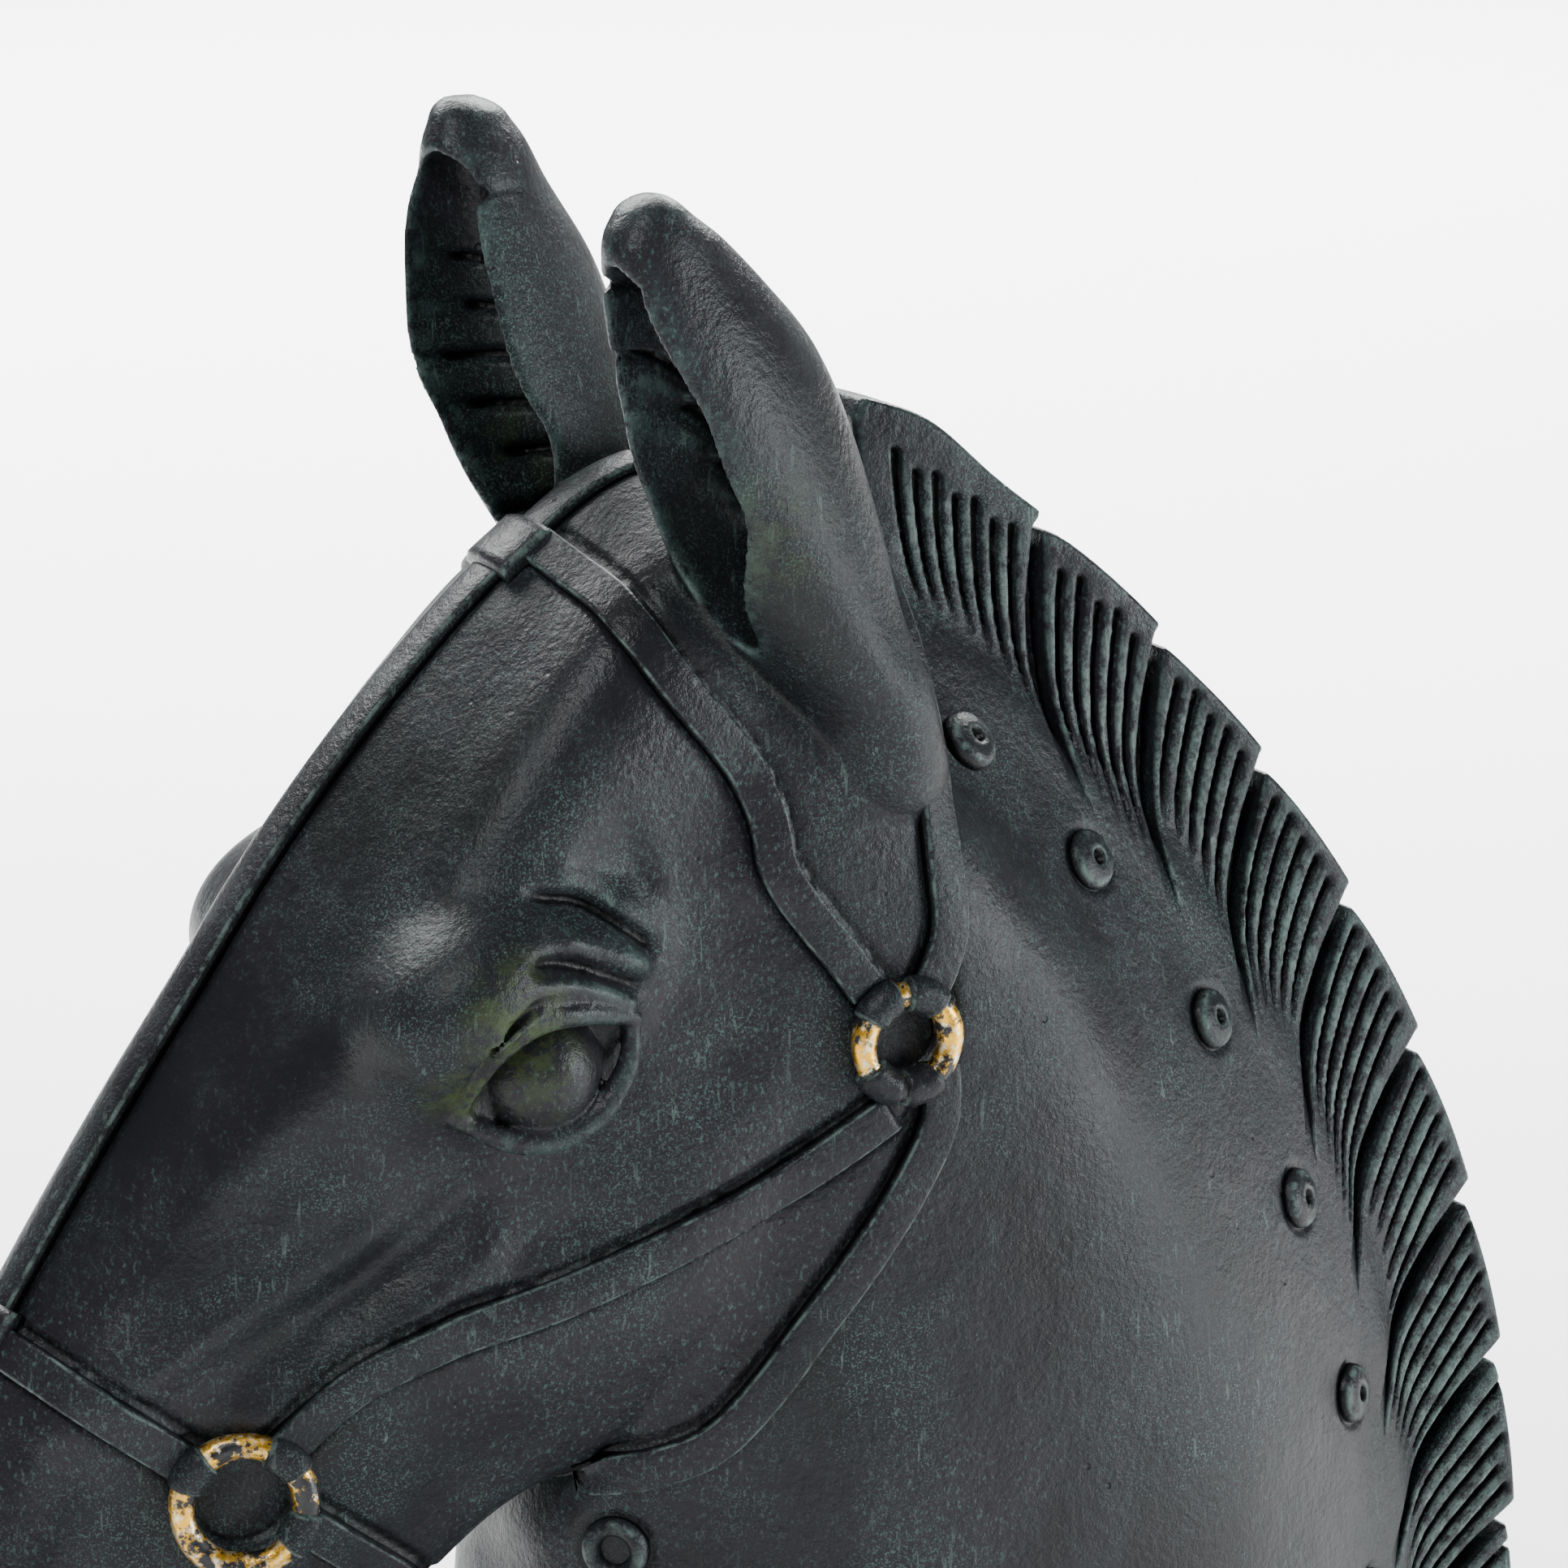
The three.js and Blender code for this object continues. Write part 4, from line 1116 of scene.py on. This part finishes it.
def head_parts():
    """The head's field, and the straps, wraps and rings that lie on it."""
    field = Field([-262, -62, 34], [-24, 0, 336])
    field.fill(skin_distance)
    for route, width, depth in FACE_STROKES:
        stroke(field, route, width, depth)
    build_eye(field)
    build_muzzle(field)
    skin = Skin(field)
    straps, rings, middle_straps = Shells(), Shells(), Shells()
    routes = bridle_routes()
    brow, crown, cheek, throat, nose, chin = routes
    for route in routes:
        fade = THROAT_FADE if route is throat else 0.0
        skin.ditch_beside(route[:-1] if fade else route, STRAP_WIDTH)
        lay_ribbon(straps, skin, route, STRAP_WIDTH, STRAP_THICKNESS, fade)
    face_line = on_skin([around_head(t, 0) for t in (-34, -20, -6, 15, 45, 75, 105, 135, 168)])
    skin.ditch_beside(face_line, FACE_STRAP_WIDTH)
    lay_ribbon(middle_straps, skin, face_line, FACE_STRAP_WIDTH, STRAP_THICKNESS)
    for t in (-6, 168):
        keeper = on_skin([around_head(t + step, 0) for step in (-6, 0, 6)])
        lay_ribbon(middle_straps, skin, keeper, 16.0, 3.6)
    meetings = [(UPPER_RING, (brow[-4], crown[-4], cheek[3], throat[3]))]
    meetings.append((LOWER_RING, (cheek[-4], nose[-3], chin[3])))
    for place, towards in meetings:
        centre = on_skin([from_side(place["t"], place["n"])])[0]
        normal = skin.normal(centre[None, :])[0]
        inner = place["diameter"] / 2 - RING_BAR * 0.7
        skin.sink_disc(centre, place["diameter"], lambda flat, r=inner: 2.0 * smooth_step((r - flat) / 1.5))
        lay_ring(rings, straps, centre, normal, place["diameter"], towards)
    straps.mirror()
    rings.mirror()
    straps.join(middle_straps)
    full = field.mirrored()
    tall = Field([-262, -62, 34], [-24, 62, 388])
    cut, _, _, _ = tall.window([-262, -62, 34], [-24, 62, 336])
    tall.value[cut] = full.value[tuple(slice(0, part.stop - part.start) for part in cut)]
    seam = seam_distance(tall.axes[0][:, None], tall.axes[2][None, :])[:, None, :]
    tall.value = common(tall.value, np.broadcast_to(seam, tall.value.shape), 0.7)
    for pose in (NEAR_EAR, FAR_EAR):
        add_ear(tall, pose)
    return tall, straps, rings


def neck_parts():
    """The neck's field, and the studs, eyelets and front strap on it."""
    field = Field([-126, -62, -4], [104, 0, 330])
    field.fill(neck_distance)
    skin = Skin(field)
    studs, front_strap = Shells(), Shells()
    places = []
    run = FIRST_STUD
    while run > -NECK_DROP + 8:
        places.append((run, STUD_OUT, STUD_PROFILE))
        run -= STUD_PITCH
    places.append((173.3, 87.1, EYELET_PROFILE))
    for run, out, profile in places:
        x, z = from_neck(run, out)
        centre = on_skin([([float(x), -CAST_FROM, float(z)], [0.0, 1.0, 0.0])])[0]
        edge = profile[0][0]
        skin.sink_disc(centre, edge, lambda flat, r=edge: 0.8 * bump((flat - r - 0.3) / 0.8))
        lay_lathe(studs, centre, skin.normal(centre[None, :])[0], profile)
    studs.mirror()
    front = on_skin([([CREST_ZERO[0] + 30, 0.0, z], [1.0, 0.0, 0.0]) for z in (85.0, 60.0, 30.0, 2.0)])
    lay_ribbon(front_strap, skin, front, STRAP_WIDTH, STRAP_THICKNESS)
    studs.join(front_strap)
    x = field.axes[0][:, None]
    z = field.axes[2][None, :]
    run, out = to_neck(x, z)
    under_mane = 1.2 * smooth_step((out - MANE_FOOT) / 5.0)
    hidden = 2.2 * smooth_step((-seam_distance(x, z) - 2.0) / 4.0)
    field.value += np.maximum(under_mane, hidden)[:, None, :]
    field.value = np.maximum(field.value, -field.axes[2][None, None, :].astype(np.float32))
    return field.mirrored(), studs


def mane_field():
    field = Field([-62, -34, -4], [118, 0, 336], MANE_VOXEL)
    field.fill(mane_distance)
    return field.mirrored()


# Materials

def new_material(name):
    material = bpy.data.materials.new(name)
    material.use_nodes = True
    tree = material.node_tree
    shader = tree.nodes["Principled BSDF"]
    return material, tree, shader


def noise(tree, place, scale, detail=4.0, rough=0.55, stretch=None):
    node = tree.nodes.new("ShaderNodeTexNoise")
    node.inputs["Scale"].default_value = scale
    node.inputs["Detail"].default_value = detail
    node.inputs["Roughness"].default_value = rough
    source = place
    if stretch:
        mapping = tree.nodes.new("ShaderNodeMapping")
        mapping.inputs["Scale"].default_value = stretch[0]
        mapping.inputs["Rotation"].default_value = stretch[1]
        tree.links.new(place, mapping.inputs["Vector"])
        source = mapping.outputs["Vector"]
    tree.links.new(source, node.inputs["Vector"])
    return node.outputs["Fac"]


def ramp(tree, source, low, high, out_low=0.0, out_high=1.0):
    node = tree.nodes.new("ShaderNodeMapRange")
    node.interpolation_type = "SMOOTHSTEP"
    node.inputs["From Min"].default_value = low
    node.inputs["From Max"].default_value = high
    node.inputs["To Min"].default_value = out_low
    node.inputs["To Max"].default_value = out_high
    tree.links.new(source, node.inputs["Value"])
    return node.outputs["Result"]


def math_node(tree, kind, a, b):
    node = tree.nodes.new("ShaderNodeMath")
    node.operation = kind
    for socket, value in zip(node.inputs, (a, b)):
        if isinstance(value, (int, float)):
            socket.default_value = value
        else:
            tree.links.new(value, socket)
    return node.outputs[0]


def mix_colour(tree, share, a, b):
    node = tree.nodes.new("ShaderNodeMix")
    node.data_type = "RGBA"
    node.clamp_factor = True
    if isinstance(share, float):
        node.inputs["Factor"].default_value = share
    else:
        tree.links.new(share, node.inputs["Factor"])
    for socket, value in ((node.inputs[6], a), (node.inputs[7], b)):
        if isinstance(value, tuple):
            socket.default_value = (*value, 1.0)
        else:
            tree.links.new(value, socket)
    return node.outputs[2]


CHARCOAL = (0.0075, 0.0080, 0.0095)
PLUM_GREY = (0.0150, 0.0135, 0.0175)
# Near black, used as painted shade in grooves, creases and holes.
SHADE_BLACK = (0.0010, 0.0010, 0.0012)
VERDIGRIS = (0.085, 0.150, 0.135)
PALE_EDGE = (0.120, 0.175, 0.155)
MOSS = (0.048, 0.070, 0.018)


def patina_material():
    """Dark cast metal: cloudy charcoal, brushed verdigris, worn edges, and painted shade that blackens the
    grooves.
    """
    material, tree, shader = new_material("patina")
    place = tree.nodes.new("ShaderNodeTexCoord").outputs["Object"]
    fine = tree.nodes.new("ShaderNodeAttribute")
    fine.attribute_name = "fine_edge"
    broad = tree.nodes.new("ShaderNodeAttribute")
    broad.attribute_name = "broad_edge"

    def both(a, b):
        return math_node(tree, "MULTIPLY", a, b)

    clouds = noise(tree, place, 16.0, 5.0, 0.62)
    colour = mix_colour(tree, ramp(tree, clouds, 0.36, 0.66), CHARCOAL, PLUM_GREY)
    patches = noise(tree, place, 26.0, 5.0, 0.72)
    patchy = ramp(tree, patches, 0.40, 0.68)
    specks = ramp(tree, noise(tree, place, 2300.0, 2.0, 0.6), 0.53, 0.64)
    colour = mix_colour(tree, both(both(specks, patchy), 0.62), colour, VERDIGRIS)
    smear = noise(tree, place, 1300.0, 2.0, 0.7, ((1.0, 0.6, 0.6), (0.3, -0.6, 0.2)))
    smears = both(ramp(tree, smear, 0.55, 0.70), ramp(tree, clouds, 0.44, 0.62))
    colour = mix_colour(tree, both(smears, 0.40), colour, VERDIGRIS)
    for turn in ((0.9, 0.4, 0.3), (-0.7, 1.2, 0.1), (0.1, -0.8, 1.3)):
        scratch = noise(tree, place, 560.0, 2.0, 0.7, ((1.0, 1.0, 0.12), turn))
        scratches = both(ramp(tree, scratch, 0.67, 0.71), patchy)
        colour = mix_colour(tree, both(scratches, 0.45), colour, PALE_EDGE)
    break_up = ramp(tree, noise(tree, place, 210.0, 4.0, 0.78), 0.40, 0.62)
    worn = both(ramp(tree, fine.outputs["Fac"], 0.12, 0.45), break_up)
    colour = mix_colour(tree, both(worn, 0.66), colour, PALE_EDGE)
    rubbed = both(ramp(tree, broad.outputs["Fac"], 0.20, 1.1), break_up)
    colour = mix_colour(tree, both(rubbed, 0.26), colour, VERDIGRIS)
    colour = moss_near_eyes(tree, place, break_up, colour)
    # Painted shade: grooves, creases, strap feet and stud holes are darkened towards near black.
    colour = mix_colour(tree, ramp(tree, fine.outputs["Fac"], -0.05, -0.30), colour, SHADE_BLACK)
    tree.links.new(colour, shader.inputs["Base Color"])
    tree.links.new(ramp(tree, patches, 0.30, 0.70, 0.30, 0.48), shader.inputs["Roughness"])
    shader.inputs["Metallic"].default_value = 0.0
    shader.inputs["Specular IOR Level"].default_value = 0.22
    add_casting_bumps(tree, place, shader)
    return material


def moss_near_eyes(tree, place, break_up, colour):
    """Yellow-green patina around each eye and along the near ear's rim."""
    spots = []
    for t, n, reach, most in ((-5.0, 15.5, 16.0, 0.65), (0.0, 3.0, 15.0, 0.35), (12.0, 12.0, 11.0, 0.55)):
        x, z = from_head(EYE["t"] + t, EYE["n"] + n)
        spots.append(((x, 49.0, z), reach, most))
    spots += [((X_SHIFT - 30, 46.0, HEAD_ZERO[1] + 60), 20.0, 0.22)]
    for (cx, cy, cz), reach, most in spots:
        for side in (-1, 1):
            away = tree.nodes.new("ShaderNodeVectorMath")
            away.operation = "DISTANCE"
            tree.links.new(place, away.inputs[0])
            away.inputs[1].default_value = (cx * MM, side * cy * MM, cz * MM)
            near = ramp(tree, away.outputs["Value"], reach * MM, reach * 0.3 * MM)
            share = math_node(tree, "MULTIPLY", math_node(tree, "MULTIPLY", near, break_up), most)
            colour = mix_colour(tree, share, colour, MOSS)
    return colour


def add_bump(tree, height, depth, strength, below=None):
    node = tree.nodes.new("ShaderNodeBump")
    node.inputs["Strength"].default_value = strength
    node.inputs["Distance"].default_value = depth
    tree.links.new(height, node.inputs["Height"])
    if below is not None:
        tree.links.new(below, node.inputs["Normal"])
    return node.outputs["Normal"]


def add_casting_bumps(tree, place, shader):
    """Hand-worked waves, brushed grain, and the small pinholes of the casting."""
    waves = noise(tree, place, 60.0, 3.0, 0.6)
    grain = noise(tree, place, 700.0, 3.0, 0.7)
    pores = tree.nodes.new("ShaderNodeTexVoronoi")
    pores.inputs["Scale"].default_value = 85.0
    tree.links.new(place, pores.inputs["Vector"])
    holes = ramp(tree, pores.outputs["Distance"], 0.035, 0.075)
    normal = add_bump(tree, waves, 0.0012, 0.5)
    normal = add_bump(tree, grain, 0.0005, 0.55, normal)
    normal = add_bump(tree, holes, 0.0005, 0.6, normal)
    tree.links.new(normal, shader.inputs["Normal"])


def gilding_material():
    material, tree, shader = new_material("gilding")
    place = tree.nodes.new("ShaderNodeTexCoord").outputs["Object"]
    leaf = noise(tree, place, 150.0, 5.0, 0.7)
    flakes = noise(tree, place, 620.0, 3.0, 0.6)
    gold = mix_colour(tree, ramp(tree, flakes, 0.45, 0.7), (0.85, 0.47, 0.045), (0.90, 0.84, 0.66))
    share = ramp(tree, leaf, 0.46, 0.54)
    colour = mix_colour(tree, share, CHARCOAL, gold)
    tree.links.new(colour, shader.inputs["Base Color"])
    tree.links.new(share, shader.inputs["Metallic"])
    tree.links.new(ramp(tree, flakes, 0.3, 0.7, 0.25, 0.5), shader.inputs["Roughness"])
    bumps = tree.nodes.new("ShaderNodeBump")
    bumps.inputs["Strength"].default_value = 0.6
    bumps.inputs["Distance"].default_value = 0.0005
    tree.links.new(leaf, bumps.inputs["Height"])
    tree.links.new(bumps.outputs["Normal"], shader.inputs["Normal"])
    return material


# Rings

def lay_ring(shells, wraps, centre, normal, diameter, towards):
    """A cast ring, a little uneven, and the straps folded over it where they arrive."""
    along, across = frame_on(normal)
    bar = RING_BAR / 2
    radius = diameter / 2 - bar
    lifted = centre + normal * (STRAP_THICKNESS + 0.2)

    def section(angle, thick, sides):
        b = np.linspace(0, 2 * math.pi, sides, endpoint=False)
        spoke = along * math.cos(angle) + across * math.sin(angle)
        out = (radius + thick * np.cos(b))[:, None] * spoke
        return lifted + out + normal * (thick * np.sin(b) * 0.95)[:, None]

    angles = np.linspace(0, 2 * math.pi, 96, endpoint=False)
    rows = [section(a, bar * (1 + 0.05 * math.sin(3 * a + 1) + 0.03 * math.sin(7 * a)), 24) for a in angles]
    shells.add(np.stack(rows), 0.0, closed_rows=True)
    for point in towards:
        way = point - centre
        middle = math.atan2(way @ across, way @ along)
        half = STRAP_WIDTH * 0.52 / radius
        steps = np.linspace(-1, 1, 17)
        swell = 1.3 * np.sqrt(np.clip(1 - steps ** 6, 0, 1)) - 0.15
        grid = np.stack([section(middle + half * s, bar + up, 24) for s, up in zip(steps, swell)])
        edge = np.where(np.abs(steps) > 0.8, 0.4, 0.02)[:, None]
        wraps.add(grid, edge)


# The dressed part

patina = patina_material()
gilding = gilding_material()
head, straps, rings = head_parts()
neck, studs = neck_parts()
pieces = [
    (build_piece("head", head, patina), "patina"),
    (straps.to_piece("bridle", patina), "patina"),
    (rings.to_piece("bridle_rings", gilding), "gilding"),
    (build_piece("neck", neck, patina), "patina"),
    (studs.to_piece("studs", patina), "patina"),
    (build_piece("mane", mane_field(), patina), "patina"),
]
for piece, slot in pieces:
    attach(piece, "root")
    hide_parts("horse_head")


# Floor, light and camera

def build_floor():
    size = 6.0
    mesh = bpy.data.meshes.new("floor")
    mesh.from_pydata([(-size, -size, 0), (size, -size, 0), (size, size, 0), (-size, size, 0)], [], [(0, 1, 2, 3)])
    material, _, shader = new_material("floor_white")
    shader.inputs["Base Color"].default_value = (0.93, 0.93, 0.93, 1)
    shader.inputs["Roughness"].default_value = 0.9
    mesh.materials.append(material)
    floor = bpy.data.objects.new("floor", mesh)
    bpy.context.scene.collection.objects.link(floor)


def add_light(name, place, target, size, power, colour=(1, 1, 1)):
    light = bpy.data.lights.new(name, "AREA")
    light.shape = "RECTANGLE"
    light.size, light.size_y = size
    light.energy = power
    light.color = colour
    lamp = bpy.data.objects.new(name, light)
    lamp.location = place
    lamp.rotation_euler = (Vector(place) - Vector(target)).to_track_quat("Z", "Y").to_euler()
    bpy.context.scene.collection.objects.link(lamp)


def build_camera():
    azimuth, elevation, distance, span = math.radians(-27), math.radians(13), 1.3, 0.3
    target = Vector((X_SHIFT * MM, 0, HEAD_ZERO[1] * MM))
    back = Vector((math.sin(azimuth) * math.cos(elevation), -math.cos(azimuth) * math.cos(elevation),
                   math.sin(elevation)))
    camera = bpy.data.cameras.new("camera")
    camera.sensor_width = 36
    camera.lens = 36 * distance / span
    camera.clip_start = 0.05
    eye = bpy.data.objects.new("camera", camera)
    eye.location = target + back * distance
    eye.rotation_euler = back.to_track_quat("Z", "Y").to_euler()
    bpy.context.scene.collection.objects.link(eye)
    bpy.context.scene.camera = eye


build_floor()
middle = (-0.07, 0.0, 0.22)
add_light("key", (-0.75, -0.75, 1.25), middle, (0.4, 0.4), 12, (0.96, 0.98, 1.0))
add_light("fill", (1.35, -1.1, 0.3), middle, (0.6, 0.8), 27, (0.92, 0.97, 1.0))
add_light("rim", (1.0, 0.8, 1.2), middle, (0.6, 0.8), 20)
add_light("backdrop", (1.0, 2.6, 2.3), (1.0, 2.8, 0.0), (4.5, 3.0), 780)
world = bpy.data.worlds.new("studio")
world.use_nodes = True
world.node_tree.nodes["Background"].inputs["Color"].default_value = (0.95, 0.97, 1.0, 1)
world.node_tree.nodes["Background"].inputs["Strength"].default_value = 0.2
bpy.context.scene.world = world
build_camera()
